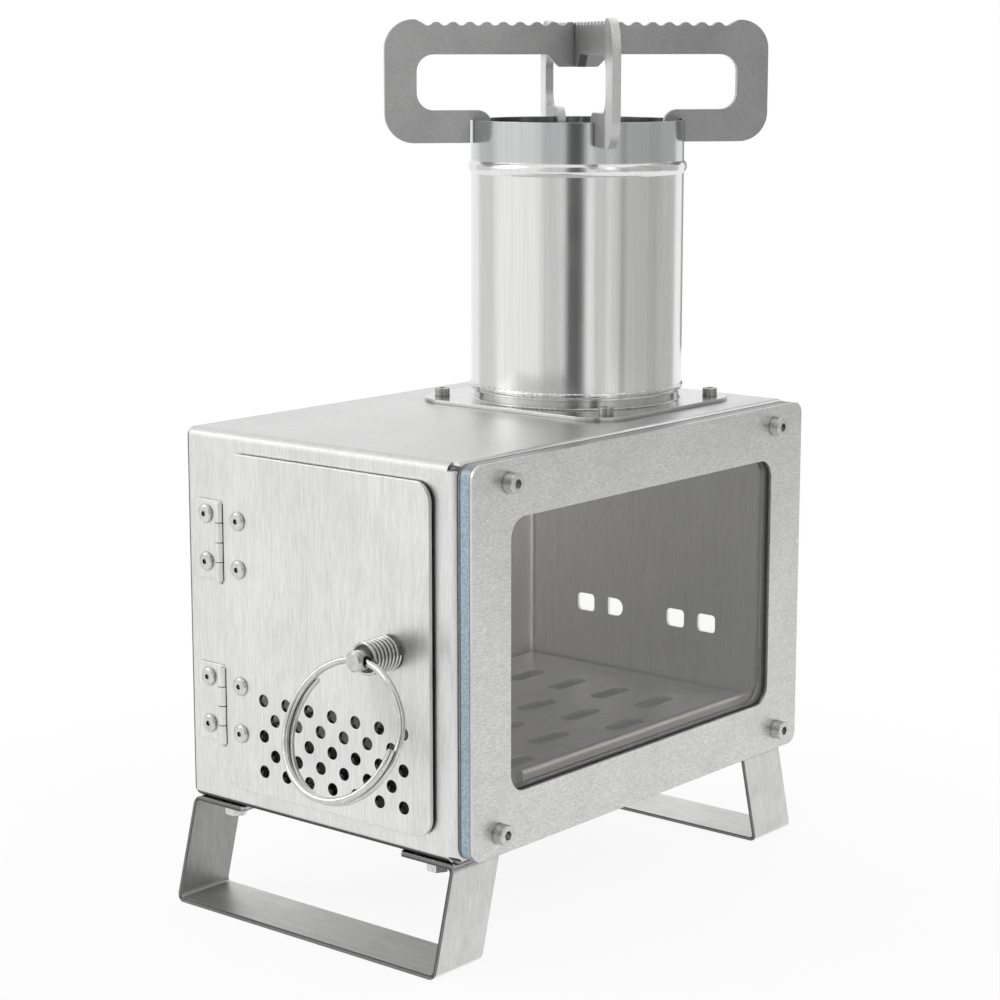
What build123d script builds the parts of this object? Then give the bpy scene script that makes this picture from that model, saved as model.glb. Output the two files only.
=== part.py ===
from build123d import *

import os
from math import ceil, cos, pi, radians, sin, sqrt

# Tabletop wood stove. Millimetres, +Z up. The door faces -Y and the window faces +X.
# The origin is on the ground, in the middle of the whole stove's outer box.

# Firebox
body_width = 126.0
body_length = 191.0
body_height = 134.0
sheet = 1.2
bend_radius = 3.2
corner_relief_radius = 2.8
corner_relief_depth = 4.2

# Door opening, measured from the body's left edge and underside
door_opening_left = 25.0
door_opening_right = 109.5
door_opening_bottom = 13.5
door_opening_top = 120.5
door_opening_corner = 4.0

# Door
door_left = 21.45
door_right = 116.1
door_bottom = 8.0
door_top = 127.0
door_corner = 6.5
door_thickness = 1.5
door_standoff = 1.0
vent_radius = 2.25
vent_pitch = 10.8
vent_row_pitch = 6.35
vent_wide_row = 7
vent_wide_rows = 3
vent_narrow_rows = 2
vent_center_from_left = 72.15
vent_center_height = 29.3

# Hinges
hinge_axis_from_left = 19.25
hinge_height = 28.0
hinge_upper_center = 95.3
hinge_lower_center = 36.8
hinge_leaf_width = 13.35
leaf_thickness = 0.8
leaf_corner = 1.0
barrel_radius = 1.9
barrel_to_panel = 0.1
knuckle_count = 4
knuckle_gap = 0.3
hinge_pin_radius = 0.85
hinge_pin_running_clearance = 0.07
hinge_pin_overhang = 0.9
notch_clearance = 0.35

# Blind rivets
rivet_spacing = 17.0
fixed_rivet_raise = 0.5
fixed_rivet_from_axis = 8.05
door_rivet_from_axis = 9.35
rivet_radius = 1.6
rivet_head_radius = 3.3
rivet_head_height = 1.3
rivet_dome_radius = 1.1
rivet_tail_radius = 2.3
rivet_tail_length = 2.4
rivet_eye_radius = 0.95
rivet_eye_depth = 1.8

# Window
frame_border = 19.4
window_bottom_inset = 2.0
window_top_inset = 0.4
window_end_inset = 0.3
window_corner = 4.5
window_opening_corner = 7.0
gasket_thickness = 1.0
glass_thickness = 4.0
frame_thickness = 1.2
upper_screw_from_end = 18.5
lower_screw_from_end = 13.5
upper_screw_below_top = 7.7
lower_screw_above_base = 9.6

# M4 and M3 fasteners
m4_radius = 2.0
m4_cap_radius = 3.5
m4_cap_height = 4.0
m4_socket_across = 3.0
m4_socket_depth = 2.0
m4_nut_across = 7.0
m4_nut_height = 3.2
m4_hex_across = 7.0
m4_hex_height = 4.4
m3_radius = 1.5
m3_cap_radius = 2.75
m3_cap_height = 3.0
m3_socket_across = 2.5
m3_socket_depth = 1.4
m3_nut_across = 5.5
m3_nut_height = 2.4
cap_edge = 0.4
nut_edge = 0.35
bolt_hole_clearance = 0.25
glass_hole_clearance = 0.6
thread_beyond_nut = 1.4

# Rear air holes, two pairs side by side
rear_vent_width = 8.3
rear_vent_height = 7.1
rear_vent_corner = 1.6
rear_vent_round_width = 7.4
rear_vent_inner = 14.8
rear_vent_outer = 29.6
rear_vent_shift = -3.9
rear_vent_center_height = 42.2

# Grate
grate_height = 17.5
grate_thickness = 1.5
grate_front = 33.5
grate_end_gap = 2.0
grate_guard_height = 25.4
grate_guard_gap = 0.8
grate_guard_thickness = 3.0
grate_guard_rounding = 1.4
grate_slot_width = 7.5
grate_slot_length = 20.0
grate_slot_pitch = 21.0
grate_row_pitch = 32.3
grate_wide_row_count = 5
grate_pattern_from_left = 67.3
grate_pattern_from_front = 107.8
grate_leg_width = 14.0
grate_leg_spacing = 72.0

# Flue flange and pipe
flue_behind_center = 42.5
flue_right_of_center = 3.2
flange_width = 92.0
flange_length = 84.0
flange_corner = 14.0
flange_thickness = 1.5
flange_screw_width_pitch = 77.0
flange_screw_length_pitch = 64.0
neck_radius = 38.2
neck_wall = 0.8
neck_height = 3.5
neck_base_fillet = 0.6
shell_flue_hole_radius = 39.0
pipe_radius = 39.2
pipe_wall = 0.6
pipe_rim_height = 103.9
spigot_clearance = 0.3
spigot_length = 12.0
lower_bead_height = 2.0
lower_bead_bulge = 0.5
upper_bead_height = 4.6
upper_bead_bulge = 1.1
upper_bead_below_rim = 16.9

# Pot stand, two crossed plates
stand_turn = 48.6
stand_thickness = 3.0
stand_span = 142.4
stand_height = 44.3
stand_below_rim = 8.3
stand_corner = 10.6
stand_top_bar = 12.5
stand_end_bar = 11.6
stand_lower_bar = 11.8
stand_window_corner = 6.2
stand_hook_reach = 7.0
stand_hook_corner = 5.0
stand_rim_slot_width = 2.2
stand_lug_top_half_width = 11.5
stand_lug_bottom_half_width = 7.2
stand_lug_drop = 4.5
stand_lug_fillet = 1.5
stand_slot_clearance = 0.3
scallop_pitch = 6.15
scallop_depth = 1.3
scallop_peak_drop = 0.9
scallop_count_each_side = 9

# Feet
foot_height = 37.0
foot_strip = 23.4
foot_thickness = 1.5
foot_half_width = 61.5
foot_right_of_center = -0.3
foot_lean = 9.9
foot_front_overhang = -0.3
foot_rear_overhang = 0.4
foot_flange_length = 24.4
foot_bend = 3.0
foot_flange_corner = 2.0
foot_bolt_from_center = 48.0
foot_bolt_from_end = 7.6

# Latch
latch_from_left = 98.7
latch_height = 68.8
latch_pin_radius = 3.5
latch_pin_reach = 20.4
latch_pin_chamfer = 0.7
latch_running_clearance = 0.08
latch_hole_reach = 17.0
latch_hole_radius = 2.0
latch_stud_radius = 2.5
latch_stud_beyond_nut = 1.0
tongue_thickness = 2.0
tongue_width = 8.0
tongue_length = 15.0
tongue_to_panel = 0.3
latch_nut_across = 8.0
latch_nut_height = 4.0

# Latch spring
spring_wire = 1.1
spring_turn_count = 7
spring_door_radius = 5.5
spring_outer_radius = 5.2
spring_end_gap = 0.15
spring_outer_reach = 15.5

# Split ring
ring_radius = 23.25
ring_wire = 2.4
ring_layer_gap = 0.5
ring_swing = 24.0
ring_start_angle = 96.0
ring_cross_start = 390.0
ring_cross_end = 450.0
ring_end_angle = 669.0
ring_front_arc_count = 4
ring_rear_arc_count = 3

# Places worked out from the sizes above
stack_thickness = gasket_thickness + glass_thickness + frame_thickness
window_reach = stack_thickness + m4_cap_height
ring_reach = latch_hole_reach + 2 * ring_radius * sin(radians(ring_swing)) + ring_wire / 2
foot_reach = foot_rear_overhang + foot_lean

body_x = -window_reach / 2
body_y = (ring_reach - foot_reach) / 2
left_x = body_x - body_width / 2
right_x = body_x + body_width / 2
front_y = body_y - body_length / 2
rear_y = body_y + body_length / 2
base_z = foot_height
top_z = base_z + body_height

ABOVE = (Align.CENTER, Align.CENTER, Align.MIN)
BELOW = (Align.CENTER, Align.CENTER, Align.MAX)

os.makedirs("parts", exist_ok=True)


# Shared sketches and helpers


def discs(plane, points, radius):
    """Round outlines at points of a plane."""
    with BuildSketch(plane) as outline:
        with Locations(*points):
            Circle(radius)
    return outline.sketch


def hexagons(plane, points, across_flats):
    """Hexagon outlines at points of a plane."""
    with BuildSketch(plane) as outline:
        with Locations(*points):
            RegularPolygon(across_flats / 2, 6, major_radius=False)
    return outline.sketch


def plate(plane, center, width, height, corner):
    """A rectangle with round corners, around a point of a plane."""
    with BuildSketch(plane) as outline:
        with Locations(center):
            RectangleRounded(width, height, corner)
    return outline.sketch


def cap_screws(face, points, size, shank_length):
    """Socket cap screws whose heads stand on a face plane, with the shanks behind it."""
    radius, cap_radius, cap_height, socket_across, socket_depth = size
    cap_top = face.offset(cap_height)
    with BuildPart() as screws:
        extrude(discs(face, points, cap_radius), amount=cap_height)
        top_edges = screws.edges().filter_by(
            lambda edge: abs(cap_top.to_local_coords(edge).center().Z) < 0.01
        )
        fillet(top_edges, cap_edge)
        extrude(discs(face, points, radius), amount=-shank_length)
        extrude(hexagons(cap_top, points, socket_across), amount=-socket_depth, mode=Mode.SUBTRACT)
    return screws.part


def hex_nuts(face, points, across_flats, height, bore_radius):
    """Hex nuts that stand on a face plane."""
    with BuildPart() as nuts:
        extrude(hexagons(face, points, across_flats), amount=height)
        extrude(discs(face, points, bore_radius), amount=height, mode=Mode.SUBTRACT)
    return nuts.part


def blind_rivets(face, points, grip):
    """Blind rivets with domed heads on a face plane and spread tails behind the joined sheets."""
    with BuildPart() as rivets:
        extrude(discs(face, points, rivet_head_radius), amount=rivet_head_height)
        head_top = face.offset(rivet_head_height)
        top_edges = rivets.edges().filter_by(
            lambda edge: abs(head_top.to_local_coords(edge).center().Z) < 0.01
        )
        fillet(top_edges, rivet_dome_radius)
        extrude(discs(face, points, rivet_radius), amount=-grip)
        extrude(discs(face.offset(-grip), points, rivet_tail_radius), amount=-rivet_tail_length)
        extrude(discs(head_top, points, rivet_eye_radius), amount=-rivet_eye_depth, mode=Mode.SUBTRACT)
    return rivets.part


def biarc(start, start_direction, end, end_direction):
    """Two arcs that leave start and reach end along the given directions and meet smoothly."""
    chord = end - start
    both = start_direction + end_direction
    bend = 2 * (1 - start_direction.dot(end_direction))
    along = chord.dot(both)
    if bend < 1e-9:
        reach = chord.dot(chord) / (2 * along)
    else:
        reach = (sqrt(along**2 + bend * chord.dot(chord)) - along) / bend
    first_handle = start + start_direction * reach
    last_handle = end - end_direction * reach
    middle = (first_handle + last_handle) / 2
    TangentArc(start, middle, tangent=start_direction)
    TangentArc(middle, end, tangent=(last_handle - first_handle).normalized())


def least_gap(points, diameter, skip_length):
    """Least gap of a tube to itself, between places further apart along it than skip_length."""
    gap = None
    travelled = [0.0]
    for before, after in zip(points, points[1:]):
        travelled.append(travelled[-1] + (after - before).length)
    for index, point in enumerate(points):
        for other in range(index + 1, len(points)):
            if travelled[other] - travelled[index] > skip_length:
                distance = (points[other] - point).length - diameter
                gap = distance if gap is None else min(gap, distance)
    return gap


# Planes that the pieces are drawn on

front_face = Plane.XZ.offset(-front_y)
rear_face = Plane.XZ.offset(-rear_y)
door_back = front_face.offset(door_standoff)
door_face = door_back.offset(door_thickness)
shell_side = Plane.YZ.offset(right_x)
glass_back = shell_side.offset(gasket_thickness)
frame_back = glass_back.offset(glass_thickness)
frame_face = frame_back.offset(frame_thickness)
shell_top = Plane.XY.offset(top_z)
flange_top = shell_top.offset(flange_thickness)
shell_base = Plane.XY.offset(base_z)

# Window layout: outline, opening and the four screws

window_length = body_length - 2 * window_end_inset
window_height = body_height - window_bottom_inset - window_top_inset
window_center = (body_y, base_z + window_bottom_inset + window_height / 2)
opening_length = window_length - 2 * frame_border
opening_height = window_height - 2 * frame_border
window_screw_points = [
    (front_y + upper_screw_from_end, top_z - upper_screw_below_top),
    (rear_y - upper_screw_from_end, top_z - upper_screw_below_top),
    (front_y + lower_screw_from_end, base_z + lower_screw_above_base),
    (rear_y - lower_screw_from_end, base_z + lower_screw_above_base),
]

# Flue, foot, hinge and latch places

flue_center = (body_x + flue_right_of_center, body_y + flue_behind_center)
flange_screw_points = [
    (
        flue_center[0] + side * flange_screw_width_pitch / 2,
        flue_center[1] + end * flange_screw_length_pitch / 2,
    )
    for side in (-1, 1)
    for end in (-1, 1)
]
foot_x = body_x + foot_right_of_center
foot_bolt_points = [
    (foot_x + side * foot_bolt_from_center, end_y)
    for side in (-1, 1)
    for end_y in (front_y + foot_bolt_from_end, rear_y - foot_bolt_from_end)
]
hinge_x = left_x + hinge_axis_from_left
hinge_y = front_y - barrel_to_panel - barrel_radius
hinge_centers = {"upper": base_z + hinge_upper_center, "lower": base_z + hinge_lower_center}
rivet_heights = [
    center + side * rivet_spacing / 2 for center in hinge_centers.values() for side in (-1, 1)
]
fixed_rivet_points = [
    (hinge_x - fixed_rivet_from_axis, height + fixed_rivet_raise) for height in rivet_heights
]
door_rivet_points = [(hinge_x + door_rivet_from_axis, height) for height in rivet_heights]
latch_x = left_x + latch_from_left
latch_z = base_z + latch_height
latch_point = (latch_x, latch_z)
ring_hole = Vector(latch_x, front_y - latch_hole_reach, latch_z)


# Firebox shell: a folded box with the window side open

with BuildPart() as firebox_cavity:
    with Locations((body_x, body_y, base_z + sheet)):
        Box(body_width - 2 * sheet, body_length - 2 * sheet, body_height - 2 * sheet, align=ABOVE)
    fillet(firebox_cavity.edges(), bend_radius - sheet)

door_opening = plate(
    front_face,
    (
        left_x + (door_opening_left + door_opening_right) / 2,
        base_z + (door_opening_bottom + door_opening_top) / 2,
    ),
    door_opening_right - door_opening_left,
    door_opening_top - door_opening_bottom,
    door_opening_corner,
)

with BuildPart() as firebox_shell:
    with Locations((body_x, body_y, base_z)):
        Box(body_width, body_length, body_height, align=ABOVE)
    fillet(firebox_shell.edges(), bend_radius)
    add(firebox_cavity.part, mode=Mode.SUBTRACT)
    window_cut = plate(shell_side, window_center, opening_length, opening_height, window_opening_corner)
    extrude(window_cut, amount=-2 * sheet, mode=Mode.SUBTRACT)
    extrude(door_opening, amount=-2 * sheet, mode=Mode.SUBTRACT)
    extrude(discs(shell_top, [flue_center], shell_flue_hole_radius), amount=-2 * sheet, mode=Mode.SUBTRACT)
    m4_hole_radius = m4_radius + bolt_hole_clearance
    m3_hole_radius = m3_radius + bolt_hole_clearance
    extrude(discs(shell_side, window_screw_points, m4_hole_radius), amount=-2 * sheet, mode=Mode.SUBTRACT)
    extrude(discs(shell_top, flange_screw_points, m3_hole_radius), amount=-2 * sheet, mode=Mode.SUBTRACT)
    extrude(discs(shell_base, foot_bolt_points, m4_hole_radius), amount=2 * sheet, mode=Mode.SUBTRACT)
    extrude(discs(front_face, fixed_rivet_points, rivet_radius), amount=-2 * sheet, mode=Mode.SUBTRACT)
    with BuildSketch(rear_face):
        with Locations((body_x + rear_vent_shift, base_z + rear_vent_center_height)):
            with GridLocations(2 * rear_vent_outer, 1, 2, 1):
                RectangleRounded(rear_vent_width, rear_vent_height, rear_vent_corner)
            with Locations((rear_vent_inner, 0)):
                RectangleRounded(rear_vent_width, rear_vent_height, rear_vent_corner)
            with Locations((-rear_vent_inner, 0)):
                SlotOverall(rear_vent_round_width, rear_vent_height)
            with Locations((-rear_vent_inner - rear_vent_round_width / 4, 0)):
                Rectangle(rear_vent_round_width / 2, rear_vent_height)
    extrude(amount=2 * sheet, mode=Mode.SUBTRACT)
    # Relief notches where three folds meet at the window side's corners
    with BuildSketch(shell_side):
        with Locations(*[(end_y, end_z) for end_y in (front_y, rear_y) for end_z in (base_z, top_z)]):
            Circle(corner_relief_radius)
    extrude(amount=-corner_relief_depth, mode=Mode.SUBTRACT)
firebox_shell.part.label = "firebox_shell"
export_step(firebox_shell.part, "parts/firebox_shell.step")


# Window stack: gasket, glass and frame plate, with the same outline

def window_layer(plane, thickness, hole_radius):
    """One layer of the window with its four screw holes, without the middle opening."""
    with BuildPart() as layer:
        extrude(plate(plane, window_center, window_length, window_height, window_corner), amount=thickness)
        extrude(discs(plane, window_screw_points, hole_radius), amount=thickness, mode=Mode.SUBTRACT)
    return layer.part


def window_opening(plane):
    """The outline of the opening through the frame and the gasket."""
    return plate(plane, window_center, opening_length, opening_height, window_opening_corner)


with BuildPart() as glass_gasket:
    add(window_layer(shell_side, gasket_thickness, m4_hole_radius))
    extrude(window_opening(shell_side), amount=gasket_thickness, mode=Mode.SUBTRACT)
glass_gasket.part.label = "glass_gasket"
export_step(glass_gasket.part, "parts/glass_gasket.step")

with BuildPart() as window_glass:
    add(window_layer(glass_back, glass_thickness, m4_radius + glass_hole_clearance))
window_glass.part.label = "window_glass"
export_step(window_glass.part, "parts/window_glass.step")

with BuildPart() as window_frame:
    add(window_layer(frame_back, frame_thickness, m4_hole_radius))
    extrude(window_opening(frame_back), amount=frame_thickness, mode=Mode.SUBTRACT)
window_frame.part.label = "window_frame"
export_step(window_frame.part, "parts/window_frame.step")

m4_cap = (m4_radius, m4_cap_radius, m4_cap_height, m4_socket_across, m4_socket_depth)
m3_cap = (m3_radius, m3_cap_radius, m3_cap_height, m3_socket_across, m3_socket_depth)

with BuildPart() as window_screws:
    window_shank = stack_thickness + sheet + m4_nut_height + thread_beyond_nut
    add(cap_screws(frame_face, window_screw_points, m4_cap, window_shank))
window_screws.part.label = "window_screws"
export_step(window_screws.part, "parts/window_screws.step")

with BuildPart() as window_nuts:
    flange_inside = shell_side.offset(-sheet - m4_nut_height)
    add(hex_nuts(flange_inside, window_screw_points, m4_nut_across, m4_nut_height, m4_radius))
window_nuts.part.label = "window_nuts"
export_step(window_nuts.part, "parts/window_nuts.step")


# Fire grate: a slotted floor on four legs, with an upright guard along its edge at the glass

grate_left = left_x + sheet + grate_end_gap
guard_right = right_x - sheet - grate_guard_gap
grate_right = guard_right - grate_guard_thickness
grate_front_y = front_y + grate_front
grate_rear_y = rear_y - sheet - grate_end_gap
grate_middle_y = (grate_front_y + grate_rear_y) / 2
grate_length = grate_rear_y - grate_front_y
floor_z = base_z + sheet
grate_under = base_z + grate_height - grate_thickness
grate_pattern = (left_x + grate_pattern_from_left, front_y + grate_pattern_from_front)

with BuildPart() as fire_grate:
    with Locations(((grate_left + grate_right) / 2, grate_middle_y, grate_under)):
        Box(grate_right - grate_left, grate_length, grate_thickness, align=ABOVE)
    with BuildSketch(Plane.XY.offset(grate_under)):
        with Locations(grate_pattern):
            for row in range(4):
                row_y = (row - 1.5) * grate_row_pitch
                slots_in_row = grate_wide_row_count - 1 + row % 2
                with Locations((0, row_y)):
                    with GridLocations(grate_slot_pitch, 1, slots_in_row, 1):
                        SlotOverall(grate_slot_length, grate_slot_width, rotation=90)
    extrude(amount=grate_thickness, mode=Mode.SUBTRACT)
fire_grate.part.label = "fire_grate"
export_step(fire_grate.part, "parts/fire_grate.step")

with BuildPart() as grate_legs:
    with Locations((body_x, grate_middle_y, grate_under)):
        with GridLocations(grate_leg_spacing, grate_length - grate_thickness, 2, 2):
            Box(grate_leg_width, grate_thickness, grate_under - floor_z, align=BELOW)
grate_legs.part.label = "grate_legs"
export_step(grate_legs.part, "parts/grate_legs.step")

with BuildPart() as grate_guard:
    with Locations((guard_right - grate_guard_thickness / 2, grate_middle_y, grate_under)):
        guard_height = base_z + grate_guard_height - grate_under
        Box(grate_guard_thickness, grate_length, guard_height, align=ABOVE)
    fillet(grate_guard.edges().filter_by(Axis.Y).group_by(Axis.Z)[-1], grate_guard_rounding)
grate_guard.part.label = "grate_guard"
export_step(grate_guard.part, "parts/grate_guard.step")


# Flue flange: a plate with round corners and a drawn neck

with BuildPart() as flue_flange:
    flange_outline = plate(shell_top, flue_center, flange_width, flange_length, flange_corner)
    extrude(flange_outline, amount=flange_thickness)
    extrude(discs(flange_top, [flue_center], neck_radius), amount=neck_height)
    neck_root = flue_flange.edges().filter_by(GeomType.CIRCLE).filter_by(
        lambda edge: abs(edge.radius - neck_radius) < 0.01
    )
    fillet(neck_root.sort_by(Axis.Z)[0], neck_base_fillet)
    neck_depth = flange_thickness + neck_height
    extrude(discs(shell_top, [flue_center], neck_radius - neck_wall), amount=neck_depth, mode=Mode.SUBTRACT)
    screw_holes = discs(shell_top, flange_screw_points, m3_hole_radius)
    extrude(screw_holes, amount=flange_thickness, mode=Mode.SUBTRACT)
flue_flange.part.label = "flue_flange"
export_step(flue_flange.part, "parts/flue_flange.step")

with BuildPart() as flange_screws:
    flange_shank = flange_thickness + sheet + m3_nut_height + thread_beyond_nut
    add(cap_screws(flange_top, flange_screw_points, m3_cap, flange_shank))
flange_screws.part.label = "flange_screws"
export_step(flange_screws.part, "parts/flange_screws.step")

with BuildPart() as flange_nuts:
    top_inside = shell_top.offset(-sheet - m3_nut_height)
    add(hex_nuts(top_inside, flange_screw_points, m3_nut_across, m3_nut_height, m3_radius))
flange_nuts.part.label = "flange_nuts"
export_step(flange_nuts.part, "parts/flange_nuts.step")


# Chimney pipe: a thin tube with a bead at each end and a spigot inside the neck

seat_z = top_z + flange_thickness + neck_height
rim_z = top_z + pipe_rim_height
spigot_radius = neck_radius - neck_wall - spigot_clearance
spigot_end_z = seat_z - spigot_length
upper_bead_z = rim_z - upper_bead_below_rim


def bead(radius, bottom_z, height, bulge, upward):
    """A rounded bead on the pipe's profile, drawn upward or downward."""
    low = (radius, bottom_z)
    middle = (radius + bulge, bottom_z + height / 2)
    high = (radius, bottom_z + height)
    if upward:
        ThreePointArc(low, middle, high)
    else:
        ThreePointArc(high, middle, low)


with BuildPart() as chimney_pipe:
    with BuildSketch(Plane.XZ) as pipe_profile:
        with BuildLine():
            inner_radius = pipe_radius - pipe_wall
            upper_bead_bottom = upper_bead_z - upper_bead_height / 2
            upper_bead_top = upper_bead_z + upper_bead_height / 2
            lower_bead_bottom = seat_z + pipe_wall
            lower_bead_top = lower_bead_bottom + lower_bead_height
            Polyline((spigot_radius, spigot_end_z), (spigot_radius, seat_z), (pipe_radius, seat_z))
            Line((pipe_radius, seat_z), (pipe_radius, lower_bead_bottom))
            bead(pipe_radius, lower_bead_bottom, lower_bead_height, lower_bead_bulge, True)
            Line((pipe_radius, lower_bead_top), (pipe_radius, upper_bead_bottom))
            bead(pipe_radius, upper_bead_bottom, upper_bead_height, upper_bead_bulge, True)
            Polyline((pipe_radius, upper_bead_top), (pipe_radius, rim_z), (inner_radius, rim_z))
            Line((inner_radius, rim_z), (inner_radius, upper_bead_top))
            bead(inner_radius, upper_bead_bottom, upper_bead_height, upper_bead_bulge, False)
            Line((inner_radius, upper_bead_bottom), (inner_radius, lower_bead_top))
            bead(inner_radius, lower_bead_bottom, lower_bead_height, lower_bead_bulge, False)
            Line((inner_radius, lower_bead_bottom), (spigot_radius - pipe_wall, lower_bead_bottom))
            Line((spigot_radius - pipe_wall, lower_bead_bottom), (spigot_radius - pipe_wall, spigot_end_z))
            Line((spigot_radius - pipe_wall, spigot_end_z), (spigot_radius, spigot_end_z))
        make_face()
    revolve(axis=Axis.Z)
chimney_pipe_at_flue = Pos(flue_center[0], flue_center[1], 0) * chimney_pipe.part
chimney_pipe_at_flue.label = "chimney_pipe"
export_step(chimney_pipe_at_flue, "parts/chimney_pipe.step")


# Pot stand: two plates that cross at right angles and hook over the pipe's rim

stand_bottom_z = rim_z - stand_below_rim
stand_top_z = stand_bottom_z + stand_height
window_top_z = stand_top_z - stand_top_bar
window_bottom_z = stand_bottom_z + stand_lower_bar
lug_bottom_z = window_top_z - stand_lug_drop
interlock_z = (stand_top_z + lug_bottom_z) / 2
wave_peak_z = stand_top_z - scallop_peak_drop
wave_middle_z = wave_peak_z - scallop_depth / 2
wave_valley_z = wave_peak_z - scallop_depth


def wavy_strip():
    """The edge of the strip that is cut from a stand plate's top, with a wave as its underside."""
    half_pitch = scallop_pitch / 2
    half_waves = range(-2 * scallop_count_each_side, 2 * scallop_count_each_side + 1)
    start = (half_waves[0] - 0.5) * half_pitch
    end = (half_waves[-1] + 0.5) * half_pitch
    Polyline(
        (end, wave_middle_z),
        (end + half_pitch, stand_top_z),
        (end + half_pitch, stand_top_z + 1),
        (start - half_pitch, stand_top_z + 1),
        (start - half_pitch, stand_top_z),
        (start, wave_middle_z),
    )
    for half_wave in half_waves:
        middle = half_wave * half_pitch
        turn_z = wave_peak_z if half_wave % 2 else wave_valley_z
        ThreePointArc(
            (middle - half_pitch / 2, wave_middle_z),
            (middle, turn_z),
            (middle + half_pitch / 2, wave_middle_z),
        )


def stand_outline(plane, slot_bottom_z, slot_top_z):
    """One stand plate seen face on, with its half of the interlocking slot."""
    hook_end = pipe_radius - stand_hook_reach
    throat_height = stand_lower_bar + stand_window_corner
    with BuildSketch(plane) as outline:
        with Locations((0, stand_bottom_z + stand_height / 2)):
            RectangleRounded(stand_span, stand_height, stand_corner)
        with Locations((0, (window_top_z + window_bottom_z) / 2)):
            RectangleRounded(
                stand_span - 2 * stand_end_bar,
                window_top_z - window_bottom_z,
                stand_window_corner,
                mode=Mode.SUBTRACT,
            )
        with Locations((0, stand_bottom_z + throat_height / 2)):
            Rectangle(2 * hook_end, throat_height, mode=Mode.SUBTRACT)
        hook_corners = outline.vertices().filter_by_position(Axis.X, -hook_end - 0.1, hook_end + 0.1)
        upper_hook_corners = hook_corners.filter_by_position(
            Axis.Y, window_bottom_z - 0.1, window_bottom_z + 0.1
        )
        fillet(upper_hook_corners, stand_hook_corner)
        Polygon(
            (-stand_lug_top_half_width, window_top_z + stand_lug_fillet),
            (-stand_lug_top_half_width, window_top_z),
            (-stand_lug_bottom_half_width, lug_bottom_z),
            (stand_lug_bottom_half_width, lug_bottom_z),
            (stand_lug_top_half_width, window_top_z),
            (stand_lug_top_half_width, window_top_z + stand_lug_fillet),
            align=None,
        )
        lug_corners = outline.vertices().filter_by_position(
            Axis.X, -stand_lug_top_half_width - 0.1, stand_lug_top_half_width + 0.1
        )
        drawn_lug_corners = lug_corners.filter_by_position(Axis.Y, lug_bottom_z - 0.1, window_top_z + 0.1)
        fillet(drawn_lug_corners, stand_lug_fillet)
        for side in (-1, 1):
            with Locations((side * (pipe_radius - pipe_wall / 2), (stand_bottom_z + rim_z) / 2)):
                Rectangle(stand_rim_slot_width, rim_z - stand_bottom_z, mode=Mode.SUBTRACT)
        with BuildLine():
            wavy_strip()
        make_face(mode=Mode.SUBTRACT)
        with Locations((0, (slot_bottom_z + slot_top_z) / 2)):
            Rectangle(
                stand_thickness + stand_slot_clearance,
                slot_top_z - slot_bottom_z,
                mode=Mode.SUBTRACT,
            )
    return outline.sketch


def stand_plane(angle):
    """An upright plane through the flue's middle, turned about the vertical."""
    direction = (cos(radians(angle)), sin(radians(angle)), 0)
    normal = (sin(radians(angle)), -cos(radians(angle)), 0)
    return Plane(origin=(flue_center[0], flue_center[1], 0), x_dir=direction, z_dir=normal)


with BuildPart() as pot_stand_lower_plate:
    lower_outline = stand_outline(stand_plane(stand_turn), interlock_z, stand_top_z + 1)
    extrude(lower_outline, amount=stand_thickness / 2, both=True)
pot_stand_lower_plate.part.label = "pot_stand_lower_plate"
export_step(pot_stand_lower_plate.part, "parts/pot_stand_lower_plate.step")

with BuildPart() as pot_stand_upper_plate:
    upper_outline = stand_outline(stand_plane(stand_turn + 90), lug_bottom_z - 1, interlock_z)
    extrude(upper_outline, amount=stand_thickness / 2, both=True)
pot_stand_upper_plate.part.label = "pot_stand_upper_plate"
export_step(pot_stand_upper_plate.part, "parts/pot_stand_upper_plate.step")


# Feet: bent strips with top flanges, leaning out towards the ends of the stove


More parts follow.
